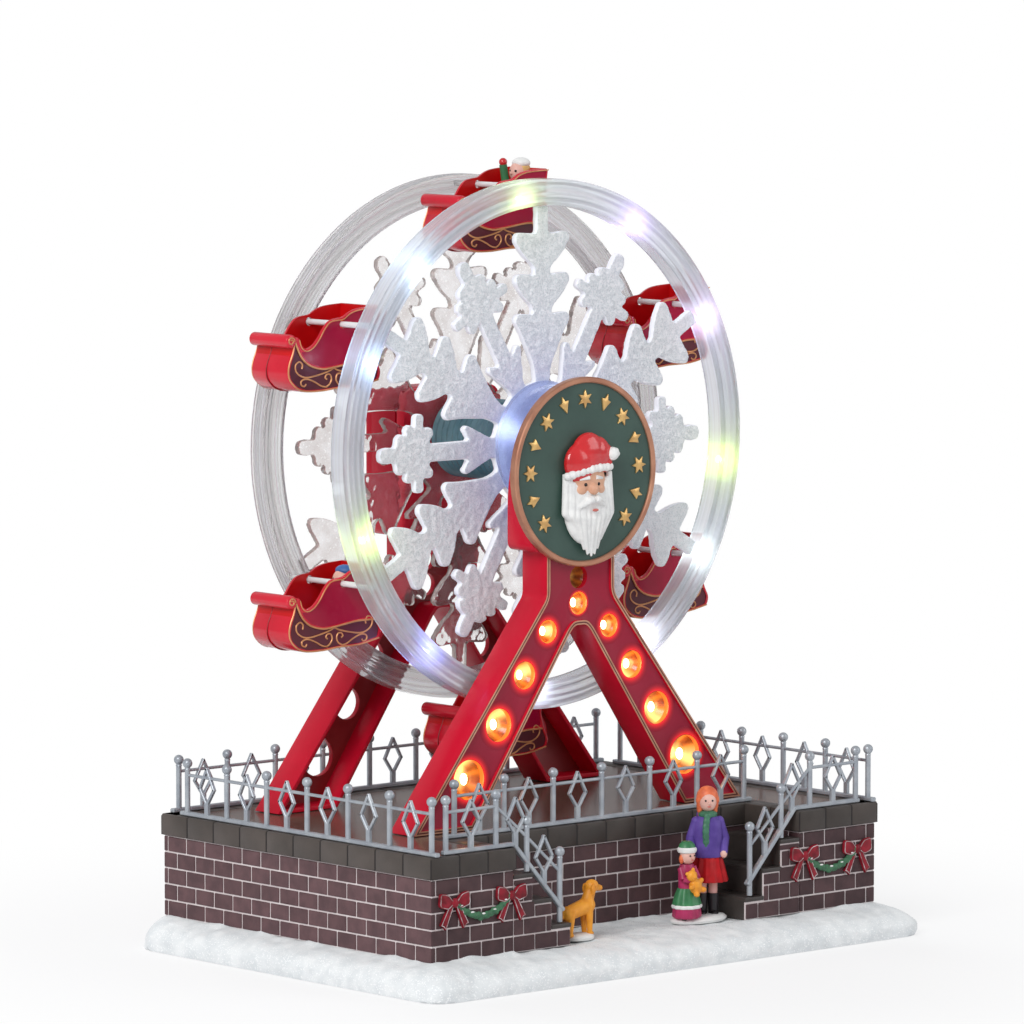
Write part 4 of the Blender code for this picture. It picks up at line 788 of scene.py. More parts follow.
def frame_points(top):
    """Outline of a whole frame: its head, neck and legs."""
    return mirrored(top + [(HEAD_HALF, -HEAD_LOW, 0.005), (NECK_HALF, -HEAD_LOW, 0.0012)] + legs_half[1:])


def inner_plate(points, distance, low, high):
    """A plate whose outline lies inside another by a distance."""
    return plate(rounded_path(drawn_in(points, distance)), low, high)


def frame_holes(low, high):
    """Cutters for the round holes of one frame."""
    return joined(*[drum(radius, low, high, side * x, -drop) for x, drop, radius in HOLES
                    for side in ((-1, 1) if x else (1,))])


def a_frame(top, windowed):
    """One frame about the axle, its panel towards -Y."""
    body = inner_plate(frame_points(top), 0.0, -FRAME_OUT, -FRAME_IN)
    body = carved(body, inner_plate(frame_points(top), 0.0015, -PANEL_IN, -FRAME_IN + PAST))
    body = carved(body, inner_plate(leg_points, BORDER, -FRAME_OUT - PAST, -PANEL_OUT))
    body = carved(body, frame_holes(-FRAME_OUT - PAST, -FRAME_IN + 0.001))
    body = carved(body, drum(BORE, -FRAME_OUT - PAST, -FRAME_IN + PAST))
    if windowed:
        body = carved(body, inner_plate(head_points(top), 0.0045, -FRAME_OUT - PAST, -PANEL_IN + 0.001))
    return softened(body, 0.0003, 2, 40.0)


frame_red = surface("frame_red", (0.6, 0.008, 0.03), 0.26, (0.5, 0.005, 0.022), 30.0, coat=0.06,
                    bump=0.03, bump_scale=250.0, specular=0.25)
panel_red = surface("panel_red", (0.34, 0.016, 0.042), 0.34, (0.29, 0.013, 0.035), 25.0, specular=0.25)
# Darker red: painted shade inside the frame channels and front head; own dark red of cable and seams.
dark_red_and_shade = surface("dark_red_and_shade", (0.3, 0.006, 0.01), 0.45, (0.22, 0.004, 0.008), 30.0)
gold = surface("gold", (0.8, 0.52, 0.2), 0.3, (0.62, 0.36, 0.14), 200.0, metallic=0.75)
hole_glow = lit("hole_glow", (1.0, 0.17, 0.02), 0.95, (0.8, 0.1, 0.02))
copper_line = surface("copper_line", (0.66, 0.36, 0.24), 0.34, (0.52, 0.25, 0.16), 160.0, metallic=0.5)
groove_shade = surface("groove_shade", (0.1, 0.016, 0.014), 0.5)

front = a_frame(HEAD_ARCH, False)
for face in front.faces:
    middle = face.calc_center_median()
    flat = abs(face.normal.y)
    gaps = [math.hypot(abs(middle.x) - x, middle.z + drop) - radius for x, drop, radius in HOLES]
    # Flat faces inside the channel that look towards the wheel take the darker red as painted shade.
    if flat > 0.9 and middle.y > -FRAME_OUT + 0.0005:
        face.material_index = 1 if face.normal.y < 0 else 2
    elif flat < 0.3 and min(abs(gap) for gap in gaps[1:]) < 0.0003:
        face.material_index = 3
    elif flat < 0.5 and middle.y > -PANEL_IN - 0.0001 and min(gaps) < 0.0003:
        face.material_index = 3
piece("front_a_frame", at_axle(front), [frame_red, panel_red, dark_red_and_shade, hole_glow], "base",
      ["front_frame"])

lines = joined(band(leg_points, 0.0001, 0.00062, -FRAME_OUT - 0.00014, -FRAME_OUT + 0.0004),
               band(leg_points, 0.00112, 0.00164, -FRAME_OUT - 0.00014, -FRAME_OUT + 0.0004))
piece("front_gold_lines", at_axle(lines), [copper_line], "base")
# A dark band between the two lines: painted shade for the groove between them.
piece("front_groove", at_axle(band(leg_points, 0.0006, 0.00114, -FRAME_OUT - 0.00006, -FRAME_OUT + 0.0002)),
      [groove_shade], "base")

rear = a_frame(HEAD_BOX, True)
bmesh.ops.scale(rear, vec=(1.0, -1.0, 1.0), verts=rear.verts)
bmesh.ops.reverse_faces(rear, faces=rear.faces)
# Faces inside the channel that look towards the wheel take the darker red as painted shade.
for face in rear.faces:
    if face.normal.y < -0.9 and face.calc_center_median().y > FRAME_IN + 0.001:
        face.material_index = 1
piece("rear_a_frame", at_axle(rear), [frame_red, dark_red_and_shade], "base", ["rear_frame"])

# Head covers. Moulded red lids close the two heads and carry the shaft; the rear pair hides the motor and
# gears.
lid = softened(inner_plate(head_points(HEAD_ARCH), 0.0018, -FRAME_IN - 0.0024, -FRAME_IN - 0.0003), 0.0004)
lid = carved(lid, drum(BORE, -FRAME_OUT, -FRAME_IN + PAST))
# The front lid lies deep in the head and takes the darker red as painted shade.
piece("front_head_lid", at_axle(lid), [dark_red_and_shade], "base", ["front_head_cover"])
cup = softened(inner_plate(head_points(HEAD_BOX), 0.0, FRAME_IN - 0.0051, FRAME_IN - 0.0003), 0.0012, 3)
cup = carved(cup, inner_plate(head_points(HEAD_BOX), 0.0015, FRAME_IN - 0.0036, FRAME_IN + PAST))
cup = carved(cup, drum(BORE, -0.01, FRAME_IN + PAST))
# The gear cup is a brighter red than the frames: painted light on it.
cover_red_with_painted_light = surface("cover_red_with_painted_light", (0.84, 0.022, 0.05), 0.32, (0.74, 0.016, 0.04), 30.0, specular=0.2)
piece("gear_cup", at_axle(cup), [cover_red_with_painted_light], "base", ["gear_cover"])
cap = softened(inner_plate(head_points(HEAD_BOX), 0.001, FRAME_OUT + 0.0003, FRAME_OUT + 0.0051), 0.0012, 3)
cap = carved(cap, inner_plate(head_points(HEAD_BOX), 0.0026, FRAME_OUT - PAST, FRAME_OUT + 0.0036))
piece("motor_cap", at_axle(cap), [frame_red], "base", ["motor_cover"])

# Lamps of the front frame. A warm bulb sits behind each hole, clipped on one cable, in a small cup that its
# light fills, and the paint round the hole glows red. The hole under the sign is the dimmest.
CUP_DEPTH = 0.0034
HALO_WIDTHS = (0.0009, 0.0011, 0.0026, 0.003, 0.003, 0.003)
bulb_glow = lit("bulb_glow", (1.0, 0.7, 0.32), 12.0, (1.0, 0.8, 0.5))
CUP_AMBER = Vector((0.7, 0.2, 0.014))
CUP_SHINE = Vector((1.3, 0.95, 0.3))
HALO_SHINE = (0.95, 0.02, 0.006)
WIRE_Y = -PANEL_IN + 0.0062


def cup_light(co, side, radius, power):
    """Light on a cup's wall: amber with dark folds, and a pale reflection of the bulb on one side."""
    angle = math.atan2(co.z, co.x)
    folds = 0.06 + 0.94 * abs(math.sin(3.5 * angle + radius * 900.0)) ** 4
    lean = math.cos(angle - side * 2.2 - radius * 500.0)
    shine = max(0.0, lean) ** 8 + 0.9 * math.exp(-(math.hypot(co.x, co.z) / (0.4 * radius)) ** 2)
    return (CUP_AMBER * folds + CUP_SHINE * shine) * power


def halo_light(co, radius, width):
    """Red light on the paint round a hole, fading outwards."""
    fade = max(0.0, 1.0 - (math.hypot(co.x, co.z) - radius) / width) ** 2
    return [c * fade for c in HALO_SHINE]


lamps = bmesh.new()
cups = []
halos = []
for (x, drop, radius), width in zip(HOLES, HALO_WIDTHS):
    power = 1.0 if drop > HOLES[0][1] else 0.15
    for side in ((-1, 1) if x else (1,)):
        spot = Vector((side * x, 0.0, -drop))
        if power == 1.0:
            bulb = spot + Vector((0.0, -PANEL_IN + 0.0008, 0.0))
            ball_at(lamps, bulb, 0.001 + 0.1 * (radius - 0.0043), 0, 14, (0.9, 1.2, 1.7))
            rings = [(radius + 0.0002 + width * k / 6, -PANEL_OUT - 0.00004) for k in range(7)]
            halo = turned(rings + [(r, -PANEL_OUT + 0.0003) for r, _ in (rings[-1], rings[0])], 40)
            glow_by(halo, lambda co: halo_light(co, radius, width))
            halos.append(placed(halo, spot))
        back = -PANEL_IN + CUP_DEPTH
        cup = turned([(radius + 0.0007, -PANEL_IN + 0.0001), (radius * 0.7, back), (0.0002, back),
                      (0.0002, back - 0.0003), (radius * 0.7 - 0.0003, back - 0.0003),
                      (radius * 0.9, -PANEL_IN + 0.0012), (radius + 0.0003, -PANEL_IN + 0.0001)], 48)
        glow_by(cup, lambda co: cup_light(co, side, radius, power))
        cups.append(placed(cup, spot))
for side in (-1, 1):
    wire = [(0.0, 0.0585)] + [(x, drop) for x, drop, _ in HOLES[2:]] + [(0.0671, 0.1369)]
    for a, b in zip(wire, wire[1:]):
        rod_between(lamps, (side * a[0], WIRE_Y, -a[1]), (side * b[0], WIRE_Y, -b[1]), 0.0007, 8, None, 1)
rod_between(lamps, (0.0, WIRE_Y, -0.0487), (0.0, WIRE_Y, -0.0585), 0.0007, 8, None, 1)
piece("frame_bulbs", at_axle(lamps), [bulb_glow, dark_red_and_shade], "base", ["frame_lamps"])
cup_amber = glowing(surface("cup_amber", (0.36, 0.09, 0.015), 0.25, (0.22, 0.04, 0.01), 500.0, coat=0.5))
piece("frame_cups", at_axle(joined(*cups)), [cup_amber], "base")
halo_red = glowing(surface("halo_red", (0.34, 0.014, 0.036), 0.34, (0.29, 0.011, 0.03), 25.0, specular=0.25))
piece("frame_halos", at_axle(joined(*halos)), [halo_red], "base")

# Sign. A turned disc, painted dark green inside a copper rim, with gold stars and sprigs round a capped and
# bearded head in high relief.
SIGN_DROP = 0.0088
SIGN_R = 0.0356
SIGN_FACE = -0.04915
SIGN_RIM_R = 0.0334
sign_green = surface("sign_green", (0.045, 0.09, 0.072), 0.42, (0.032, 0.068, 0.055), 60.0, bump=0.06)
copper = surface("copper", (0.55, 0.27, 0.17), 0.35, (0.42, 0.19, 0.12), 120.0, metallic=0.6)
back = -FRAME_OUT - 0.0003
disc = turned([(0.0002, back), (SIGN_RIM_R + 0.0002, back), (SIGN_RIM_R + 0.0002, SIGN_FACE + 0.001),
               (0.0002, SIGN_FACE + 0.001)], 72)
piece("sign_plate", at_axle(disc, SIGN_DROP), [sign_green], "base", ["sign_disc"])
rim = turned([(SIGN_RIM_R, back), (SIGN_R, back), (SIGN_R, SIGN_FACE + 0.0004), (SIGN_R - 0.0004, SIGN_FACE),
              (SIGN_RIM_R + 0.0004, SIGN_FACE), (SIGN_RIM_R, SIGN_FACE + 0.0004)], 72)
piece("sign_rim", at_axle(rim, SIGN_DROP), [copper], "base")


def star_path(points, outer, inner, turn=0.0):
    """Outline of a star."""
    path = []
    for i in range(points * 2):
        radius = inner if i % 2 else outer
        a = turn + math.pi * i / points
        path.append(Vector((radius * math.cos(a), radius * math.sin(a))))
    return path


MOTIF_R = 0.0273
SPRIG = ((-0.0032, 0.0), (-0.0008, -0.0012), (0.0012, -0.0024), (0.0014, -0.0008), (0.0036, 0.0),
         (0.0014, 0.0008), (0.0012, 0.0024), (-0.0008, 0.0012))
motifs = []
for i in range(13):
    a = math.radians(222 - 22 * i)
    middle = Vector((MOTIF_R * math.cos(a), MOTIF_R * math.sin(a)))
    if i % 2 == 0:
        path = [middle + p for p in star_path(6, 0.0036, 0.0016, a)]
    else:
        out = Vector((math.cos(a), math.sin(a)))
        side = Vector((-out.y, out.x))
        path = [middle + out * u + side * v for u, v in SPRIG]
    motifs.append(plate(path, SIGN_FACE + 0.0004, SIGN_FACE + 0.0012))
piece("sign_motifs", at_axle(softened(joined(*motifs), 0.00018), SIGN_DROP), [gold], "base")

# Head on the sign. A moulded relief: glossy red cap that falls to one side, lumpy white trim and pompom, a
# plain tan face, and a long white beard of carved locks.
RELIEF = -48.45
skin = surface("skin", (0.72, 0.42, 0.28), 0.5, (0.64, 0.34, 0.22), 150.0)
rosy_skin = surface("rosy_skin", (0.8, 0.5, 0.42), 0.45, (0.74, 0.42, 0.35), 150.0)
fur_white = surface("fur_white", (0.86, 0.86, 0.84), 0.55, (0.74, 0.74, 0.73), 260.0, bump=0.5,
                    bump_scale=1100.0)
cap_red = surface("cap_red", (0.66, 0.02, 0.024), 0.18, (0.52, 0.012, 0.016), 80.0, coat=0.7)
ink = surface("ink", (0.015, 0.012, 0.012), 0.35)
blush = surface("blush", (0.62, 0.16, 0.13), 0.45)


def blended(bm, voxel, smooth=4, factor=0.6):
    """Melt overlapping shapes into one soft body."""
    return baked(bm, ("REMESH", {"mode": "VOXEL", "voxel_size": voxel}),
                 ("SMOOTH", {"factor": factor, "iterations": smooth}))


def egg(bm, x, y, z, radius, material=0, sides=16, stretch=(1.0, 1.0, 1.0)):
    """Add a ball or an egg, all in millimetres."""
    ball_at(bm, (x / 1000, y / 1000, z / 1000), radius / 1000, material, sides, stretch)


def bar(bm, start, end, radius, end_radius, sides, material=0):
    """Add a round bar that may taper, all in millimetres."""
    rod_between(bm, [c / 1000 for c in start], [c / 1000 for c in end], radius / 1000, sides,
                end_radius / 1000, material)


def relief(name, bm, voxel, smooth, material, replaced=()):
    """Melt a part of the head, cut its back flat and put it on the sign."""
    bm = blended(bm, voxel, smooth)
    cut = bmesh.ops.bisect_plane(bm, geom=bm.verts[:] + bm.edges[:] + bm.faces[:],
                                 plane_co=(0.0, RELIEF / 1000, 0.0), plane_no=(0.0, 1.0, 0.0),
                                 clear_outer=True)
    edges = [e for e in cut["geom_cut"] if isinstance(e, bmesh.types.BMEdge)]
    bmesh.ops.holes_fill(bm, edges=edges, sides=0)
    piece(name, at_axle(bm, SIGN_DROP), [material], "base", replaced, SOFT)


beard = bmesh.new()
egg(beard, 0, RELIEF - 1, -13, 10, 0, 32, (1.15, 0.34, 1.45))
for i in range(15):
    t = i / 14 * 2 - 1
    bulge = 1 - t * t
    top = (t * 10.8, RELIEF - 2.2 + t * t, -0.2 - 6.8 * bulge)
    middle = (t * 11.8 + 0.7 * math.sin(i * 2.1), RELIEF - 3.6 + 1.6 * t * t, -15 - 2 * bulge)
    tip = (t * 5.8 + 1.2, RELIEF - 2 + 0.6 * t * t, -22.5 - 8 * bulge - 1.2 * (i % 2))
    bar(beard, top, middle, 1.3, 1.4, 10)
    bar(beard, middle, tip, 1.4, 0.5, 10)
    egg(beard, *middle, 1.4, 0, 10)
for s in (-1, 1):
    bar(beard, (s * 0.6, RELIEF - 5.2, -9.8), (s * 6.4, RELIEF - 4, -12.8), 1.7, 0.8, 12)
    egg(beard, s * 2, RELIEF - 5, -10.2, 1.7, 0, 12)
relief("sign_beard", beard, 0.00032, 2, fur_white, ["sign_head"])
face = bmesh.new()
egg(face, 0.2, RELIEF - 1, -3.5, 8, 0, 32, (1.06, 0.42, 1.05))
for s in (-1, 1):
    egg(face, s * 4.5, RELIEF - 2.8, -6.4, 2.4, 0, 20, (1.1, 0.7, 0.9))
egg(face, 0.3, RELIEF - 4.7, -6.2, 2, 0, 20, (1.0, 0.9, 1.1))
relief("sign_face", face, 0.00035, 3, skin)
brows = bmesh.new()
eyes = bmesh.new()
for s in (-1, 1):
    bar(brows, (s * 1.8, RELIEF - 4.4, -1.8), (s * 5.8, RELIEF - 3.2, -2.4), 0.8, 0.5, 12)
    egg(eyes, s * 3.2, RELIEF - 3.9, -4.4, 0.7, 0, 14, (1.1, 0.8, 1.0))
egg(eyes, 0.3, RELIEF - 5.6, -14, 1, 1, 14, (1.5, 0.5, 0.6))
piece("sign_brows", at_axle(brows, SIGN_DROP), [fur_white], "base")
piece("sign_eyes", at_axle(eyes, SIGN_DROP), [ink, blush], "base")
cap = bmesh.new()
for x, z, r, depth in ((-3.5, 3.6, 8, 0.45), (0.2, 7, 8, 0.46), (4.2, 6.8, 6.6, 0.5), (7.4, 6.4, 4.6, 0.6),
                       (8.2, 3, 3.6, 0.7)):
    egg(cap, x, RELIEF - 1.5, z, r, 0, 28, (1.0, depth, 1.0))
relief("sign_cap", cap, 0.0004, 5, cap_red)
trim = bmesh.new()
for i in range(11):
    t = i / 10
    arch = math.sin(math.pi * t)
    egg(trim, -11.2 + t * 21.2, RELIEF - 2.6 - 1.4 * arch, -1 + 2.6 * t + arch, 1.6 + 0.2 * (i % 2), 0, 14)
egg(trim, 10.8, RELIEF - 3.2, 6.4, 2.6, 0, 20)
for i in range(9):
    a = i * 2.4
    egg(trim, 10.8 + 1.5 * math.cos(a), RELIEF - 4.4 + 0.4 * (i % 3), 6.4 + 1.5 * math.sin(a), 1.1, 0, 10)
relief("sign_trim", trim, 0.00032, 2, fur_white)

# Wheel rims. Two clear rings, each moulded as a channel that is open towards the other, with fine ridges
# round its outer face; lamps in the front ring's channel colour the plastic near them.
RIM_R = 0.1
RIM_W = 0.01
RIM_D = 0.007
RIM_Y = 0.02325
RIM_WALL = 0.0012
LAMP_AT = 0.093
LAMP_COLOURS = ((-7, (0.75, 1.0, 0.1)), (28, (0.8, 0.65, 1.0)), (61, (0.62, 0.42, 1.0)),
                (97, (0.72, 1.0, 0.35)), (133, (0.55, 0.75, 1.0)), (158, (0.45, 0.65, 1.0)),
                (199, (0.7, 1.0, 0.15)), (232, (0.25, 0.3, 1.0)), (268, (0.75, 0.8, 1.0)),
                (304, (0.85, 0.85, 1.0)), (330, (0.8, 0.9, 0.9)))


def polar(radius, degrees, sideways=0.0):
    """The XZ point at a radius and an angle, shifted sideways."""
    a = math.radians(degrees)
    return (radius * math.cos(a) - sideways * math.sin(a), radius * math.sin(a) + sideways * math.cos(a))


# Bands of painted reflection across a rim's profile: places from the outer edge inwards, and their colours.
RIM_REFLECTION_BANDS = ((0.0, (0.8, 0.74, 0.68)), (0.1, (0.5, 0.52, 0.48)), (0.24, (0.93, 0.95, 0.94)),
             (0.38, (0.84, 0.84, 0.93)), (0.5, (0.44, 0.43, 0.43)), (0.6, (0.66, 0.46, 0.52)),
             (0.7, (0.46, 0.46, 0.44)), (0.8, (0.96, 0.96, 0.95)), (0.92, (0.66, 0.66, 0.62)),
             (1.0, (0.82, 0.78, 0.72)))


def clear_plastic(name, colour, roughness=0.06, transmission=0.92, bump=0.0):
    """Clear or milky plastic."""
    return surface(name, colour, roughness, [c * 0.93 for c in colour], 25.0, transmission=transmission,
                   ior=1.33, bump=bump, bump_scale=500.0)


def reflection_tinted(material):
    """Multiply a surface's colour by its own tint attribute, which holds painted reflection bands."""
    tree = material.node_tree
    tint = added(tree, "Attribute", attribute_name="tint")
    mix = added(tree, "MixRGB", blend_type="MULTIPLY", Fac=1.0)
    wired(tree, (tree.nodes["shades"].outputs["Color"], mix.inputs["Color1"]),
          (tint.outputs["Color"], mix.inputs["Color2"]),
          (mix.outputs["Color"], tree.nodes["Principled BSDF"].inputs["Base Color"]))
    return material


def reflection_banded(bm, milk, repeats):
    """Give a ring grey, white and rosy bands of painted reflection that run round it, washed out by milk."""
    layer = bm.verts.layers.float_color.new("tint")
    for vert in bm.verts:
        across = (RIM_R - math.hypot(vert.co.x, vert.co.z)) / RIM_W + (abs(vert.co.y) - RIM_Y) / RIM_D + 0.5
        sway = 0.06 * noise.noise(Vector((vert.co.x * 14.0, vert.co.z * 14.0, 2.0)))
        t = abs((across + sway) * repeats % 2.0 - 1.0)
        for (low, first), (high, second) in zip(RIM_REFLECTION_BANDS, RIM_REFLECTION_BANDS[1:]):
            if low <= t <= high:
                part = (t - low) / (high - low)
                colour = Vector(first).lerp(Vector(second), part)
        vert[layer] = (*colour.lerp(Vector((0.95, 0.97, 1.0)), milk), 1.0)
    return bm


def rim_ring(side):
    """One rim about the axle with its web outwards."""
    inner = RIM_R - RIM_W
    face = -RIM_D / 2
    profile = [(inner, -face)]
    ridges = 4
    for i in range(ridges * 6 + 1):
        t = i / (ridges * 6)
        profile.append((inner + t * RIM_W, face - 0.0005 * math.sin(math.pi * ridges * t) ** 2))
    profile += [(RIM_R, -face), (RIM_R - RIM_WALL, -face), (RIM_R - RIM_WALL, face + RIM_WALL),
                (inner + RIM_WALL, face + RIM_WALL), (inner + RIM_WALL, -face)]
    fine = []
    for a, b in zip(profile, profile[1:] + profile[:1]):
        parts = max(1, round(math.dist(a, b) / 0.0006))
        fine += [(a[0] + (b[0] - a[0]) * k / parts, a[1] + (b[1] - a[1]) * k / parts) for k in range(parts)]
    bm = turned([(r, y - RIM_Y) for r, y in fine], 144)
    if side > 0:
        bmesh.ops.scale(bm, vec=(1.0, -1.0, 1.0), verts=bm.verts)
        bmesh.ops.reverse_faces(bm, faces=bm.faces)
    return bm


def lamp_light(co, near, near_reach, far, far_reach):
    """Coloured light that the ring lamps throw on a point near them."""
    total = Vector((0.0, 0.0, 0.0))
    for angle, colour in LAMP_COLOURS:
        x, z = polar(LAMP_AT, angle)
        away = math.hypot(co.x - x, co.z - z)
        glow_near = near * math.exp(-(away / near_reach) ** 2)
        glow_far = far * math.exp(-(away / far_reach) ** 2)
        total += Vector(colour) * (glow_near + glow_far)
    return total


rim_plastic = glowing(reflection_tinted(clear_plastic("rim_plastic", (0.95, 0.97, 1.0), 0.12, 0.7)))
rear_plastic = reflection_tinted(clear_plastic("rear_plastic", (0.98, 0.97, 0.97), 0.08, 0.72))
front = reflection_banded(rim_ring(-1), 0.66, 2.4)
glow_by(front, lambda co: lamp_light(co, 0.75, 0.005, 0.1, 0.014))
piece("front_ring", at_axle(front), [rim_plastic], "wheel", ["front_rim"])
piece("rear_ring", at_axle(reflection_banded(rim_ring(1), 0.42, 2.6)), [rear_plastic], "wheel", ["rear_rim"])

# Light chain. Small coloured lamps sit on one wire that is laid round the front ring's channel, and each
# shines through the clear plastic in its own colour.
CHANNEL_FLOOR = -RIM_Y - RIM_D / 2 + RIM_WALL
chain = turned([(LAMP_AT + 0.0005 * math.cos(a), CHANNEL_FLOOR + 0.0008 + 0.0005 * math.sin(a))
                for a in [math.tau * k / 8 for k in range(8)]], 96)
wire_grey = surface("wire_grey", (0.55, 0.57, 0.58), 0.5)
chain_materials = [wire_grey]
for index, (angle, colour) in enumerate(LAMP_COLOURS):
    white_hot = [0.55 + 0.45 * c for c in colour]
    chain_materials.append(lit(f"lamp_{index + 1}", white_hot, 7.0, (0.9, 0.9, 0.9)))
    x, z = polar(LAMP_AT, angle)
    ball_at(chain, (x, CHANNEL_FLOOR + 0.0018, z), 0.0014, index + 1, 12)
piece("rim_lamps", at_axle(chain), chain_materials, "wheel", ["light_chain"])

# Snowflake plates. Each is one clear moulding: six fir arms that reach the rim and six shorter arms with a
# small flake, all round a hub disc, with rounded edges and a frosted, glittered face.
HUB_R = 0.024
ARM_L = RIM_R - RIM_W - HUB_R
FLAKE_T = 0.003


def fir_arm():
    """Half outline of a fir arm as (radius, half width, corner)."""
    half = [(HUB_R - 0.006 * ARM_L, 0.053 * ARM_L, 0.0), (HUB_R + 0.08 * ARM_L, 0.062 * ARM_L, 0.003)]
    for tip, neck in ((0.38, 0.07), (0.606, 0.056), (0.84, 0.045)):
        half += [(HUB_R + (tip - 0.115) * ARM_L, 0.156 * ARM_L, 0.004),
                 (HUB_R + (tip - 0.03) * ARM_L, 0.213 * ARM_L, 0.0018),
                 (HUB_R + (tip + 0.01) * ARM_L, 0.188 * ARM_L, 0.0018),
                 (HUB_R + tip * ARM_L, neck * ARM_L, 0.0008)]
        half.append((HUB_R + (tip + 0.045) * ARM_L, neck * ARM_L + 0.0004, 0.002))
    return half[:-1] + [(RIM_R - RIM_W - 0.0004, 0.045 * ARM_L, 0.0)]


FLAKE_AT = 0.0612
FLAKE_HALF = ((-4.4, 3.4, 0.8), (-7.4, 7.4, 1.7), (-5.6, 9.9, 1.7), (-2.1, 8.9, 0.6), (-2.0, 14.8, 1.6),
              (2.0, 14.8, 1.6), (2.1, 9.2, 0.6), (4.6, 11.4, 1.7), (7.2, 9.3, 1.7), (5.0, 4.2, 0.7),
              (8.6, 8.3, 1.6), (11.1, 6.2, 1.6), (11.6, 2.7, 0.7), (15.5, 3.1, 1.2), (19.2, 2.4, 1.6))

STALK = ((0.03, 0.058, 0.002), (0.12, 0.1, 0.002), (0.212, 0.142, 0.0012), (0.236, 0.116, 0.001),
         (0.19, 0.053, 0.0008))


def flake_arm():
    """Half outline of a straight arm that ends in a small flake of fingers."""
    half = [(HUB_R - 0.003 * ARM_L, 0.06 * ARM_L, 0.0)]
    half += [(HUB_R + r * ARM_L, w * ARM_L, c) for r, w, c in STALK]
    return half + [(FLAKE_AT + u / 1000, v / 1000, c / 1000) for u, v, c in FLAKE_HALF]


def snowflake(y):
    """One plate, melted and roughened, its glittered faces in the second material."""
    points = []
    for i in range(6):
        for half, degrees in ((flake_arm(), 60 * i), (fir_arm(), 60 * i + 30)):
            points += [(*polar(r, degrees, -w), c) for r, w, c in half]
            points += [(*polar(r, degrees, w), c) for r, w, c in reversed(half)]
            points.append((*polar(HUB_R, degrees + 15), 0.0))
    bm = plate(rounded_path(points, 3), y - FLAKE_T / 2, y + FLAKE_T / 2)
    bm = carved(bm, drum(BORE, -0.1, 0.1))
    bm = blended(bm, 0.0006, 3, 0.5)
    for vert in bm.verts:
        out = 1.0 if vert.co.y > y else -1.0
        if abs(vert.co.y - y) > FLAKE_T * 0.33:
            x, _, z = vert.co
            grit = noise.noise(Vector((x * 420.0, out * 7.0, z * 420.0))) * 0.00028
            vert.co.y = min(max(vert.co.y + out * grit, y - FLAKE_T / 2 - 0.0002), y + FLAKE_T / 2 + 0.0002)
    bm.normal_update()
    for face in bm.faces:
        if abs(face.normal.y) > 0.8:
            face.material_index = 1
    return bm


def plate_light(co):
    """Cold light from the hub and coloured light from the ring lamps."""
    hub = math.exp(-max(0.0, math.hypot(co.x, co.z) - HUB_R) / 0.02)
    return lamp_light(co, 0.0, 0.01, 0.09, 0.017) + Vector((0.03, 0.045, 0.15)) * hub


# The front plate's edges give off a faint white light: a painted highlight along them.
ice_edge_highlight = lit("ice_edge_highlight", (0.9, 0.93, 1.0), 0.14, (0.78, 0.8, 0.86))
ice_frost = glowing(sparkle(surface("ice_frost", (0.8, 0.83, 0.83), 0.4, (0.56, 0.59, 0.6), 1900.0, bump=0.7,
                                    bump_scale=1600.0, transmission=0.22, ior=1.25), (1.0, 1.0, 1.0), 0.3,
                            2500.0))
# The rear plate's edges are brownish grey: painted shade for the dark outlines of clear plastic seen edge on.
rear_edge_shade = clear_plastic("rear_edge_shade", (0.62, 0.55, 0.52), 0.07, 0.55)
rear_ice = sparkle(surface("rear_ice", (0.92, 0.91, 0.92), 0.08, (0.74, 0.7, 0.69), 150.0, bump=0.5,
                           bump_scale=420.0, transmission=0.95, ior=1.3), (1.0, 1.0, 1.0), 0.03, 1800.0)
piece("front_flake", at_axle(glow_by(snowflake(-RIM_Y), plate_light)), [ice_edge_highlight, ice_frost], "wheel",
      ["front_snowflake"], SOFT)
piece("rear_flake", at_axle(snowflake(RIM_Y)), [rear_edge_shade, rear_ice], "wheel", ["rear_snowflake"],
      SOFT)

# Hub. A ribbed barrel holds the plates apart; a frosted lens over the hub spreads the light of a cold white
# lamp.
barrel_profile = [(0.0139, -0.02145), (0.0139, 0.02145)]
ribs = 14
for i in range(ribs * 4 + 1):
    t = i / (ribs * 4)
    barrel_profile.append((0.0152 + 0.0003 * math.cos(math.tau * ribs * t), 0.02145 - 0.0429 * t))
barrel_blue = surface("barrel_blue", (0.24, 0.44, 0.5), 0.18, (0.1, 0.24, 0.3), 60.0, transmission=0.3)
piece("barrel", at_axle(turned(barrel_profile, 64)), [barrel_blue], "wheel", ["hub_barrel"])
lens_near = -(RIM_Y + FLAKE_T / 2 + 0.0003)
lens_far = lens_near - 0.004
lens = turned([(BORE, lens_far), (0.0205, lens_far), (0.0226, lens_far + 0.0008), (HUB_R, lens_near),
               (HUB_R - 0.0016, lens_near), (0.021, lens_far + 0.0016), (BORE, lens_far + 0.0016)], 64)
LENS_SPOT = (-0.02, 0.007)


def lens_light(co):
    """Cold light on the lens, strongest at the spot that its lamp throws."""
    away = math.hypot(co.x - LENS_SPOT[0], co.z - LENS_SPOT[1])
    return Vector((0.55, 0.66, 1.0)) * (0.5 * math.exp(-(away / 0.0045) ** 2) + 0.05)


lens_clear = glowing(clear_plastic("lens_clear", (0.72, 0.78, 0.96), 0.16, 0.86, bump=0.15))
piece("lens", at_axle(glow_by(lens, lens_light)), [lens_clear], "wheel", ["hub_lens"])

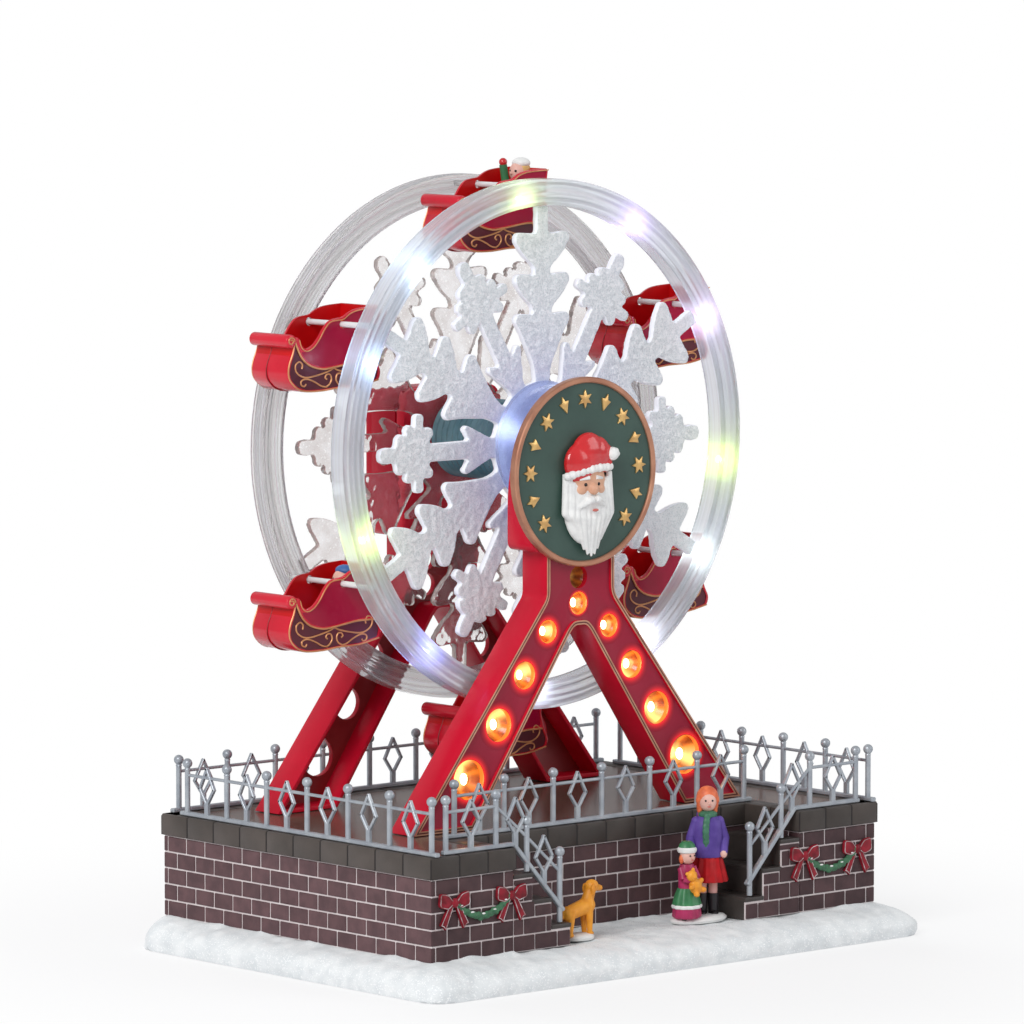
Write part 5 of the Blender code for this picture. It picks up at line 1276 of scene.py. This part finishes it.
# Rods. Six milky clear rods, moulded in plastic, join the front and rear rims near their outer edges, and
# each carries one sleigh.
ROD_AT = 0.0965
ROD_REACH = RIM_Y + RIM_D / 2 - RIM_WALL - 0.0003
rod_clear = clear_plastic("rod_clear", (0.95, 0.95, 0.96), 0.14, 0.25)


def at_rod(bm, index, back=0.0, along=0.0):
    """Move a shape that is built about a rod to its place."""
    x, z = polar(ROD_AT, 30 + 60 * index)
    return at_axle(placed(bm, (x + along, back, z)))


for i in range(6):
    rod = softened(drum(0.0011, -ROD_REACH, ROD_REACH, sides=24), 0.0002)
    piece(f"cross_rod_{i + 1}", at_rod(rod, i), [rod_clear], "wheel", [f"rod_{i + 1}"])

# Sleighs. Six identical mouldings with a rolled nose hang level from the rods: glossy crimson sides with gold
# edge lines, a sunk dark panel with gold scrolls, and a bright red inside.
SLEIGH_HALF = 0.0105
SLEIGH_BACK = 0.003


def mm(*points):
    """Points given in millimetres."""
    return tuple((x / 1000, z / 1000) for x, z in points)


SIDE = mm((-24, -6), (-22.6, -3.6), (-21, -4.2), (-20, -7), (-17.6, -8.5), (-14.3, -7.3), (-11.4, -4.3),
          (-9.3, -1.2), (-6.4, 1.7), (-2.8, 2.3), (0.2, 2.5), (3, 4.3), (6, 5.3), (10, 5.8), (18.2, 6.2),
          (17.2, 0.2), (14.6, -7.8), (16, -14), (18.4, -18.2), (17.3, -21.8), (7.5, -23.6), (-2.3, -23.8),
          (-10.2, -24.5), (-18.1, -24.4), (-22.6, -23.1), (-26, -20), (-26.8, -16.8), (-26.2, -13.7),
          (-24.8, -10.6), (-24, -8))
SEAT = mm((-21.2, 30), (-21.2, -8), (-22.8, -12), (-24, -16.2), (-23.2, -18.8), (-18.5, -20), (-10, -20.4),
          (8, -20.6), (11.8, -19), (13, -7), (15.2, 1), (16, 30))
SWOOP = mm((-23.1, -5.6), (-22.2, -7.6), (-19.9, -11.6), (-16, -14.6), (-10.2, -16.1), (-5, -15.8), (1, -15),
           (7, -14.3), (15, -14.3))
PANEL = SWOOP + mm((17.1, -18), (16.3, -21), (7.4, -22.7), (-2.3, -22.9), (-10.2, -23.6), (-17.8, -23.5),
                   (-22, -22.3), (-25, -19.6), (-25.8, -16.8), (-25.2, -13.9), (-23.8, -10.6), (-23.2, -8))
FLANK = mm((-20.3, -9.2), (-17.8, -9.6), (-13.9, -8.3), (-10.6, -4.9), (-8.5, -1.8), (-5.8, 0.8),
           (-2.6, 1.3), (0.4, 1.5), (3.4, 3.4), (6.2, 4.4), (10, 4.9), (17.2, 5.3), (16.3, 0.2),
           (13.7, -7.8), (14.4, -13), (7, -13.6), (1, -14.3), (-5, -15.1), (-10.2, -15.4), (-15.7, -13.9),
           (-19, -11.2))
CURLS = (mm((-19.8, -15.6), (-19.6, -14), (-21, -12.9), (-22.8, -14.1), (-22.5, -16.5), (-20.1, -18.3),
            (-16.8, -18.9), (-11.8, -18.2), (-6.9, -17), (-4.5, -16)),
         mm((-17.8, -21.3), (-18.6, -22.1), (-20, -21.6), (-20.2, -20.3), (-18.8, -19.5), (-16.6, -19.6),
            (-13.5, -20.8), (-10.4, -22.4), (-7.8, -22.9)),
         mm((-7.8, -20), (-8.6, -19.3), (-7.8, -18.2), (-6.2, -18.4), (-5.6, -20.2), (-6.6, -21.9),
            (-8.4, -22.9)))
CURL_MIDDLE = -0.0045
SEAM_AT = 0.0018
ROLL_AT = (-0.0252, -0.0052)
sleigh_red = surface("sleigh_red", (0.64, 0.014, 0.034), 0.2, (0.54, 0.008, 0.024), 45.0, coat=0.25,
                     specular=0.4)
flank_red = surface("flank_red", (0.38, 0.002, 0.036), 0.22, (0.32, 0.001, 0.028), 45.0, coat=0.1,
                    specular=0.3)
panel_dark = surface("panel_dark", (0.105, 0.005, 0.017), 0.3, (0.075, 0.004, 0.012), 60.0)
seat_red = surface("seat_red", (0.6, 0.004, 0.006), 0.3, (0.5, 0.003, 0.005), 50.0)
trim_gold = surface("trim_gold", (0.72, 0.34, 0.15), 0.36, (0.56, 0.24, 0.1), 200.0, metallic=0.35)


def tube(bm, points, radius, sides=6, material=0):
    """A round bead along a line of points in a plane of constant Y."""
    first = None
    ring = []
    count = len(points)
    for i, point in enumerate(points):
        here = Vector(point)
        ahead = Vector(points[min(i + 1, count - 1)]) - Vector(points[max(i - 1, 0)])
        across = Vector((-ahead.z, 0.0, ahead.x)).normalized()
        depth = Vector((0.0, 1.0, 0.0))
        loop = [bm.verts.new(here + (across * math.cos(a) + depth * math.sin(a)) * radius)
                for a in (math.tau * k / sides for k in range(sides))]
        for k in range(sides if ring else 0):
            face = bm.faces.new((ring[k], ring[(k + 1) % sides], loop[(k + 1) % sides], loop[k]))
            face.material_index = material
        first = first or loop
        ring = loop
    for loop in (first, ring):
        face = bm.faces.new(loop if loop is ring else loop[::-1])
        face.material_index = material


def flowing(points, steps=5):
    """Smooth line through a row of points."""
    spots = [Vector(p) for p in points]
    spots = [2 * spots[0] - spots[1]] + spots + [2 * spots[-1] - spots[-2]]
    line = []
    for a, b, c, d in zip(spots, spots[1:], spots[2:], spots[3:]):
        for k in range(steps):
            t = k / steps
            bend = (2 * a - 5 * b + 4 * c - d) * t ** 2
            twist = (3 * b - a - 3 * c + d) * t ** 3
            line.append(0.5 * (2 * b + (c - a) * t + bend + twist))
    return line + [spots[-2]]


def soft_plate(points, corner, low, high):
    """A plate whose outline is given clockwise as (x, z)."""
    return plate(list(reversed(rounded_path([(x, z, corner) for x, z in points], 4))), low, high)


def sleigh_shell():
    """The red shell about its rod."""
    body = softened(soft_plate(SIDE, 0.0016, -SLEIGH_HALF, SLEIGH_HALF), 0.00035)
    roll = drum(0.0025, -SLEIGH_HALF - 0.0004, SLEIGH_HALF + 0.0004, *ROLL_AT, 24)
    body = carved(body, softened(roll, 0.0006, 3), "UNION")
    body = carved(body, soft_plate(SEAT, 0.0012, -SLEIGH_HALF + 0.0013, SLEIGH_HALF - 0.0013))
    for side in (-1, 1):
        for outline, depth in ((PANEL, 0.0003), (FLANK, 0.00018)):
            low, high = sorted((side * (SLEIGH_HALF - depth), side * (SLEIGH_HALF + 0.002)))
            body = carved(body, soft_plate(outline, 0.001, low, high))
    body = carved(body, drum(0.0016, -0.03, 0.03, sides=24))
    for face in body.faces:
        middle = face.calc_center_median()
        depth = SLEIGH_HALF - abs(middle.y)
        if depth > 0.0012:
            face.material_index = 2 if -0.0248 < middle.x < 0.0164 and middle.z > -0.0207 else 0
        elif abs(face.normal.y) > 0.9 and 0.0001 < depth < 0.00036:
            face.material_index = 1 if depth > 0.00024 else 3
    return body


def sleigh_gold():
    """Gold lines and scrolls on both sides about its rod."""
    bm = bmesh.new()
    rail = [(x, z - 0.0007) for x, z in SIDE[2:15]]
    keel = [(x * 0.985, z + 0.0004) for x, z in (*SIDE[19:], SIDE[0])]
    for side in (-1, 1):
        face = side * SLEIGH_HALF
        deep = side * (SLEIGH_HALF - 0.00022)
        for y, radius, path in ((face, 0.00022, rail), (face, 0.0003, keel), (face, 0.00036, SWOOP)):
            tube(bm, [(p.x, y, p.y) for p in flowing(path, 3)], radius)
        for path in CURLS:
            for hand in (1, -1):
                shift = 0.0 if hand > 0 else 2 * CURL_MIDDLE
                tube(bm, [(shift + hand * p.x, deep, p.y) for p in flowing(path)], 0.00032)
        ring = [(ROLL_AT[0] + 0.0016 * (1 - 0.7 * k / 16) * math.cos(0.55 * k),
                 ROLL_AT[1] + 0.0016 * (1 - 0.7 * k / 16) * math.sin(0.55 * k)) for k in range(17)]
        tube(bm, [(x, side * (SLEIGH_HALF + 0.0004), z) for x, z in ring], 0.00026)
    tube(bm, [(p.x, SEAM_AT, p.y) for p in flowing((*SIDE[22:], SIDE[0]), 3)], 0.00024, 6, 1)
    return bm


for i in range(6):
    materials = [sleigh_red, panel_dark, seat_red, flank_red]
    piece(f"sleigh_body_{i + 1}", at_rod(sleigh_shell(), i, SLEIGH_BACK), materials, f"sleigh_{i + 1}",
          [f"sleigh_{i + 1}"])
    piece(f"sleigh_gold_{i + 1}", at_rod(sleigh_gold(), i, SLEIGH_BACK), [trim_gold, dark_red_and_shade],
          f"sleigh_{i + 1}")

# Painted clothes and hair for the resin figures. All of them are brushed on in satin paint, each in one plain
# colour.
coat_green = surface("coat_green", (0.05, 0.22, 0.09), 0.4, (0.03, 0.15, 0.06), 200.0)
coat_blue = surface("coat_blue", (0.06, 0.16, 0.42), 0.4, (0.04, 0.11, 0.3), 200.0)
coat_purple = surface("coat_purple", (0.125, 0.075, 0.34), 0.5, (0.08, 0.045, 0.24), 200.0, specular=0.3)
dress_magenta = surface("dress_magenta", (0.45, 0.03, 0.12), 0.42, (0.33, 0.02, 0.08), 200.0)
scarf_green = surface("scarf_green", (0.06, 0.2, 0.12), 0.45, (0.04, 0.14, 0.08), 300.0)
skirt_red = surface("skirt_red", (0.48, 0.008, 0.012), 0.45, (0.34, 0.005, 0.008), 250.0, specular=0.3)
boot_black = surface("boot_black", (0.02, 0.017, 0.02), 0.28)
hair_red = surface("hair_red", (0.86, 0.21, 0.085), 0.42, (0.66, 0.13, 0.05), 420.0, bump=0.5,
                   bump_scale=2200.0)
hair_blond = surface("hair_blond", (0.8, 0.52, 0.2), 0.42, (0.64, 0.38, 0.13), 420.0, bump=0.5,
                     bump_scale=2200.0)
toy_orange = surface("toy_orange", (0.88, 0.37, 0.03), 0.45, (0.74, 0.27, 0.02), 250.0, bump=0.4,
                     bump_scale=1500.0)
leg_pink = surface("leg_pink", (0.8, 0.44, 0.4), 0.45, (0.64, 0.3, 0.24), 150.0)
paint_white = surface("paint_white", (0.84, 0.84, 0.82), 0.45, (0.74, 0.74, 0.73), 150.0)

# Riders. Two children, cast in resin and painted, are glued into their sleighs: one on top, waving, in a
# green coat; one low at the left in blue.
SEAT_Z = -19.7
for name, index, coat, hat, tall, lean, slot in (
    ("top_rider", 1, coat_green, paint_white, 13.2, 1.6, "green"),
    ("side_rider", 3, coat_blue, coat_blue, 4.5, 0.0, "purple"),
):
    bm = bmesh.new()
    top = SEAT_Z + 13.0 + tall / 2
    bar(bm, (5.4, 0, SEAT_Z + 0.2), (6.8, 0, top - 1), 4.8, 3.6, 20)
    egg(bm, 7, 0, top - 1.2, 3.8, 0, 20, (0.95, 1.15, 0.8))
    egg(bm, 7.8 + lean, 0, top + 4.6, 3.6, 1, 24, (1.0, 0.95, 1.1))
    egg(bm, 9.2 + lean, 0, top + 5.2, 3.7, 2, 24, (0.95, 1.04, 1.12))
    egg(bm, 9.2 + lean, 0, top + 8, 3.5, 3, 24, (0.95, 1.08, 0.62))
    for s in (-1, 1):
        raised = lean and s > 0
        x, y, z = (5.2, 4, top + 7.4) if raised else (3, s * 4.4, top - 5.8)
        egg(bm, 4.6 + lean, s * 1.4 - 0.6, top + 5.2, 0.45, 4, 8)
        bar(bm, (6.4, s * 3.4, top - 1.5), (x, y, z), 1.6, 1.5 if raised else 1.3, 14)
        egg(bm, x, y, z + (1 if raised else -0.6), 1.6, 5, 14)
    egg(bm, 4.2 + lean, 0, top + 4.2, 0.6, 1, 8)
    piece(name + "_figure", at_rod(bm, index, SLEIGH_BACK, 0.0028 if lean else 0.0),
          [coat, rosy_skin, hair_blond, hat, ink, cap_red], f"sleigh_{index + 1}", [name])

# Adult and child. One resin casting on a snowy base: the adult in a purple hooded jacket, green scarf, red
# pleated skirt and black boots; the child in a trimmed dress with a small orange bear.
GROUND = TRAY_TOP + 0.0003
PAIR_AT = (0.03, WALL_FRONT + 0.0105, GROUND)


def lathe(bm, sections, x=0.0, y=0.0, sides=40, folds=0, depth=0.0, material=0):
    """Loft rings of (z, half x, half y) in millimetres, with pleats where folds are asked for."""
    loops = []
    for z, half_x, half_y in sections:
        loop = []
        for k in range(sides):
            a = math.tau * k / sides
            wave = 1.0 + depth * math.cos(folds * a) if folds else 1.0
            spot = (x + half_x * wave * math.cos(a), y + half_y * wave * math.sin(a), z)
            loop.append(bm.verts.new([c / 1000 for c in spot]))
        loops.append(loop)
    faces = [(low[k], low[(k + 1) % sides], high[(k + 1) % sides], high[k])
             for low, high in zip(loops, loops[1:]) for k in range(sides)]
    for corners in faces + [loops[0][::-1], loops[-1]]:
        bm.faces.new(corners).material_index = material


def adult_part(name, bm, materials, crease=35.0):
    """Turn a part of the adult on the spot and put it in its place."""
    turn = Matrix.Rotation(math.radians(ADULT_TURN), 3, "Z")
    bmesh.ops.rotate(bm, cent=(AX / 1000, AY / 1000, 0.0), matrix=turn, verts=bm.verts)
    piece(name, placed(bm, PAIR_AT), materials, "base", (), crease)


base = bmesh.new()
lathe(base, [(0, 12.2, 7), (1, 13, 7.6), (2, 11.8, 6.6), (2.4, 9, 4.8)])
piece("pair_base", placed(base, PAIR_AT), [paint_white], "base", ["figure_pair"])
AX, AY = 5.6, 1.0
ADULT_TURN = -34.0
adult = bmesh.new()
for s in (-1, 1):
    bar(adult, (AX + s * 2.2, AY, 1.8), (AX + s * 2.1, AY, 10), 1.9, 2.2, 20)
    egg(adult, AX + s * 2.3, AY - 1.2, 2.4, 1.9, 0, 16, (0.9, 1.5, 0.65))
    bar(adult, (AX + s * 2.1, AY, 9.8), (AX + s * 2, AY, 16), 1.7, 1.8, 20, 1)
lathe(adult, [(14.5, 7.4, 6.2), (15, 7.5, 6.3), (20.6, 6.1, 5.1), (26, 4.8, 4.1)], AX, AY, 56, 14, 0.06, 2)
lathe(adult, [(23.8, 5.8, 4.8), (24.4, 6.2, 5.1), (28, 5.5, 4.4), (33, 5.7, 4.4), (37.2, 5.5, 4),
              (39.2, 3.4, 2.8), (40, 2, 2)], AX, AY, 32, material=3)
for s, hand in ((1, (11.2, -2.2, 25.2)), (-1, (-1, -3.4, 26.8))):
    shoulder = (AX + s * 4.4, AY, 37.2)
    elbow = (AX + s * 6.6, AY + 0.2, 30.8)
    bar(adult, shoulder, elbow, 1.8, 1.7, 18, 3)
    egg(adult, *shoulder, 1.9, 3, 18)
    egg(adult, *elbow, 1.7, 3, 16)
    bar(adult, elbow, hand, 1.7, 1.4, 18, 3)
    egg(adult, *hand, 1.4, 4, 14, (1.0, 1.0, 1.2))
egg(adult, AX, AY + 2.4, 39.2, 3.6, 3, 24, (1.1, 0.9, 0.75))
adult_part("adult", adult, [boot_black, leg_pink, skirt_red, coat_purple, rosy_skin], crease=50.0)
head = bmesh.new()
egg(head, AX, AY - 0.2, 44.8, 3.6, 0, 28, (0.92, 0.95, 1.12))
bar(head, (AX, AY, 39.5), (AX, AY, 42.5), 1.5, 1.5, 16)
egg(head, AX, AY - 3.7, 44.3, 0.6, 0, 10)
for s in (-1, 1):
    egg(head, AX + s * 1.3, AY - 3.4, 45.3, 0.4, 1, 8)
egg(head, AX, AY - 3.4, 43, 0.6, 2, 10, (1.3, 0.5, 0.5))
adult_part("adult_head", head, [rosy_skin, ink, blush])
hair = bmesh.new()
egg(hair, AX, AY + 1, 46.2, 4.2, 0, 28, (1.0, 0.92, 1.02))
for s in (-1, 1):
    for k in range(4):
        egg(hair, AX + s * (3.4 - 0.3 * k), AY + 0.4 + 0.3 * k, 45.2 - 1.9 * k, 1.4, 0, 14, (0.8, 1.1, 1.3))
for k in range(6):
    egg(hair, AX - 2.5 + k, AY + 3.4, 42, 1.6, 0, 12, (0.8, 0.8, 1.8))
adult_part("adult_hair", blended(hair, 0.0003, 2), [hair_red], crease=SOFT)
scarf = bmesh.new()
lathe(scarf, [(38.6, 2.6, 2.6), (39.2, 3.6, 3.4), (40.4, 3.6, 3.4), (41.2, 2.4, 2.4)], AX, AY, 28)
for k in range(7):
    t = k / 6
    egg(scarf, AX - 0.8 - 0.6 * math.sin(3 * t), AY - 3.6 - 0.8 * math.sin(math.pi * t), 39.2 - 11 * t, 1.3,
        0, 12, (1.1, 0.6, 1.2))
adult_part("adult_scarf", blended(scarf, 0.00028, 2), [scarf_green], SOFT)
CX, CY = -8.0, -2.2
child = bmesh.new()
for sections, depth, material in (
    ([(2.2, 4.8, 4.4), (3, 5.6, 5.1), (6.2, 5.2, 4.7)], 0.05, 0),
    ([(6, 5.5, 5), (6.5, 5.8, 5.3), (7.1, 5.8, 5.3), (7.6, 5.4, 4.9)], 0.05, 1),
    ([(7.3, 5.6, 5.1), (11, 4.6, 4.2), (13.6, 3.5, 3.2)], 0.05, 2),
    ([(13.4, 3.3, 3), (16.5, 3.3, 3), (20.5, 3.4, 3), (22.6, 2.6, 2.2)], 0.02, 0),
):
    lathe(child, sections, CX, CY, 40, 10, depth, material)
for s in (-1, 1):
    elbow = (CX + s * 3.6, CY - 2, 17.2)
    bar(child, (CX + s * 3, CY, 21.2), elbow, 1.4, 1.3, 16)
    bar(child, elbow, (CX + s * 1.2, CY - 4.2, 16.8), 1.3, 1.1, 16)
    egg(child, CX + s, CY - 4.4, 16.8, 1.1, 3, 12)
    bar(child, (CX + s * 1.8, CY - 0.6, 1.6), (CX + s * 1.8, CY - 0.6, 3), 1.3, 1.3, 14, 4)
piece("child", placed(child, PAIR_AT), [dress_magenta, paint_white, coat_green, rosy_skin, boot_black],
      "base", (), 50.0)
head = bmesh.new()
egg(head, CX, CY - 0.4, 25.6, 3, 0, 24, (0.98, 0.95, 1.05))
for s in (-1, 1):
    egg(head, CX + s * 1.1, CY - 3.1, 26, 0.35, 1, 8)
    egg(head, CX + s * 2.6, CY + 0.2, 24.6, 1.1, 3, 12, (0.8, 1.0, 1.6))
egg(head, CX, CY - 3.4, 25.2, 0.5, 0, 8)
egg(head, CX, CY - 3.1, 24.3, 0.45, 2, 8, (1.3, 0.5, 0.5))
piece("child_head", placed(head, PAIR_AT), [rosy_skin, ink, blush, hair_red], "base")
hat = bmesh.new()
lathe(hat, [(27, 3.4, 3.3), (27.6, 3.8, 3.6), (28.4, 3.8, 3.6), (29, 3.3, 3.1)], CX, CY, 28, material=1)
lathe(hat, [(28.6, 3.4, 3.2), (30, 3, 2.8), (31.2, 1.8, 1.7)], CX, CY, 28)
piece("child_hat", placed(hat, PAIR_AT), [coat_green, paint_white], "base")
bear = bmesh.new()
egg(bear, CX - 0.4, CY - 4.8, 15, 2.1, 0, 18, (1.0, 0.9, 1.25))
egg(bear, CX - 0.6, CY - 5, 18.8, 1.7, 0, 18)
egg(bear, CX - 0.6, CY - 6.4, 18.5, 0.7, 0, 10)
for s in (-1, 1):
    egg(bear, CX - 0.6 + s * 1.3, CY - 4.8, 20.2, 0.6, 0, 10)
    egg(bear, CX - 0.4 + s * 1.9, CY - 5.6, 16, 0.8, 0, 10, (1.4, 1.0, 1.0))
    egg(bear, CX - 0.4 + s * 1.4, CY - 6, 13.2, 0.9, 0, 10, (1.0, 1.3, 1.0))
bear = blended(bear, 0.00024, 1)
lap = Matrix.Translation((CX / 1000, (CY - 4.4) / 1000, 0.016))
tilt = Matrix.Rotation(math.radians(-24.0), 4, "Y")
plump = Matrix.Diagonal((1.3, 1.15, 1.25, 1.0))
bmesh.ops.transform(bear, matrix=lap @ tilt @ plump @ lap.inverted(), verts=bear.verts)
piece("child_bear", placed(bear, PAIR_AT), [toy_orange], "base", (), SOFT)

# Dog. A small dog, cast in resin and painted orange, is glued to the tray by its own snowy base and looks
# towards the figures.
DOG_AT = (-0.033, WALL_FRONT + 0.0075, GROUND)
DOG_SIZE = 0.93
base = bmesh.new()
lathe(base, [(0, 6, 4.4), (1, 6.4, 4.7), (1.8, 5.6, 4), (2.2, 3.6, 2.6)], sides=32)
piece("dog_base", placed(base, DOG_AT), [paint_white], "base", ["dog"])
dog = bmesh.new()
bar(dog, (-6.2, 0, 10.8), (4, 0, 13.2), 2.9, 3.3, 20)
egg(dog, -6, 0, 10.8, 3.1, 0, 20)
egg(dog, 4, 0, 13.4, 3.5, 0, 20)
bar(dog, (3.8, 0, 14), (6.2, 0, 20), 2.6, 2.2, 18)
egg(dog, 6.6, 0, 20.8, 2.8, 0, 20, (1.1, 0.95, 0.95))
bar(dog, (7.8, 0, 20.4), (11, 0, 19.6), 1.7, 1.2, 16)
egg(dog, 11, 0, 19.6, 1.2, 0, 12)
for s in (-1, 1):
    egg(dog, 5.2, s * 2.6, 19.6, 1.4, 0, 14, (0.8, 0.6, 1.7))
    for x, lean in ((-5.4, 1.0), (3.8, -0.4)):
        bar(dog, (x, s * 1.7, 12), (x - lean, s * 1.7, 1.8), 1.7, 1, 14)
        egg(dog, x - lean + 0.4, s * 1.7, 2.2, 1.2, 0, 12, (1.3, 1.0, 0.7))
bar(dog, (-8, 0, 12), (-10.2, 0, 8.2), 1.1, 0.6, 12)
dog = blended(dog, 0.0003, 3)
spots = bmesh.new()
for s in (-1, 1):
    egg(spots, 8.6, s * 1.5, 21.6, 0.45, 0, 8)
egg(spots, 12.1, 0, 19.9, 0.6, 0, 10)
for name, bm, material, crease in (("dog_body", dog, toy_orange, SOFT), ("dog_eyes", spots, ink, 35.0)):
    bmesh.ops.scale(bm, vec=(DOG_SIZE,) * 3, verts=bm.verts)
    piece(name, placed(bm, DOG_AT), [material], "base", (), crease)

# Garlands. Thin resin castings are glued to the front of each wing: two dark red bows, edged white, hold up a
# green swag dusted with white.
bow_red = surface("bow_red", (0.3, 0.012, 0.026), 0.42, (0.14, 0.006, 0.012), 320.0, specular=0.3)
edge_dust = surface("edge_dust", (0.62, 0.6, 0.6), 0.6, (0.22, 0.1, 0.1), 420.0)
leaf_green = surface("leaf_green", (0.05, 0.17, 0.08), 0.5, (0.03, 0.1, 0.05), 500.0, bump=0.6,
                     bump_scale=1800.0)


def bow_paths(x):
    """Outlines of the two loops and two tails of a bow."""
    paths = []
    for s in (-1, 1):
        for shape in (((0, 0, 0), (3, 3.4, 1.2), (7, 4.2, 1.4), (7.4, -1, 1.4), (3.2, -2.2, 1.2)),
                      ((0, 0, 0), (2, 0.6, 0.6), (6.8, -7.8, 0.3), (5.6, -8.2, 0), (4.2, -9.6, 0.3))):
            path = [((x + s * u) / 1000, z / 1000, r / 1000) for u, z, r in shape]
            paths.append(path if s < 0 else path[::-1])
    return paths


for name, side in (("left_garland", -1), ("right_garland", 1)):
    at = (side * 0.0879, WALL_FRONT - 0.0003, BRICK_FOOT + 0.0215)
    edges = []
    bodies = []
    for x in (-13.8, 13.8):
        for index, path in enumerate(bow_paths(x)):
            depth = 0.0012 + 0.0003 * (index % 2 == 0) + 0.00004 * index
            bodies.append(softened(inner_plate(path, 0.0, -depth, -0.0001), 0.0003))
            edges.append(band(path, 0.00045, 0.0002, -depth - 0.00008, -depth + 0.0002))
        knot = bmesh.new()
        egg(knot, x, -1.2, 0.1, 1.7, 0, 18, (0.95, 0.6, 1.1))
        bodies.append(knot)
    swag = bmesh.new()
    snow_bits = bmesh.new()
    for i in range(25):
        t = i / 24 * 2 - 1
        z = -5.8 * (1 - t * t) - 0.2
        egg(swag, 12.8 * t, -0.8, z + 0.4 * math.sin(i * 2.7), 1.3 + 0.2 * math.sin(i * 1.9), 0, 12,
            (1.1, 0.62, 1.0))
        if i % 5 == 2:
            egg(snow_bits, 12.8 * t, -1.3, z + 0.9, 0.6, 0, 10, (1.5, 0.6, 0.6))
    piece(name + "_bows", placed(joined(*bodies), at), [bow_red], "base", [name])
    piece(name + "_edges", placed(joined(*edges), at), [edge_dust], "base")
    piece(name + "_swag", placed(blended(swag, 0.0003, 1), at), [leaf_green], "base", (), SOFT)
    piece(name + "_dust", placed(snow_bits, at), [paint_white], "base")

# Hidden works. Motor, gears, shaft, battery bay, board, speaker, switch and bottom plate keep their solids
# and get the plain plastics and metals that they are made of.
plain_black = surface("plain_black", (0.025, 0.025, 0.027), 0.45, (0.018, 0.018, 0.02), bump=0.1)
gear_white = surface("gear_white", (0.78, 0.77, 0.73), 0.4, (0.7, 0.69, 0.66))
motor_steel = surface("motor_steel", (0.5, 0.5, 0.52), 0.3, (0.42, 0.42, 0.45), 150.0, metallic=0.9)
board_green = surface("board_green", (0.03, 0.16, 0.07), 0.4, (0.02, 0.11, 0.05), 300.0)
cell_wrap = surface("cell_wrap", (0.1, 0.22, 0.13), 0.35, (0.07, 0.16, 0.1), metallic=0.3)
coated(plain_black, "bottom_plate", "battery_box", "battery_hatch", "speaker", "switch_body", "switch_knob")
coated(gear_white, "drive_gear", "pinion")
coated(motor_steel, "gear_motor", "wheel_shaft")
coated(board_green, "circuit_board")
coated(cell_wrap, "battery_1", "battery_2", "battery_3")
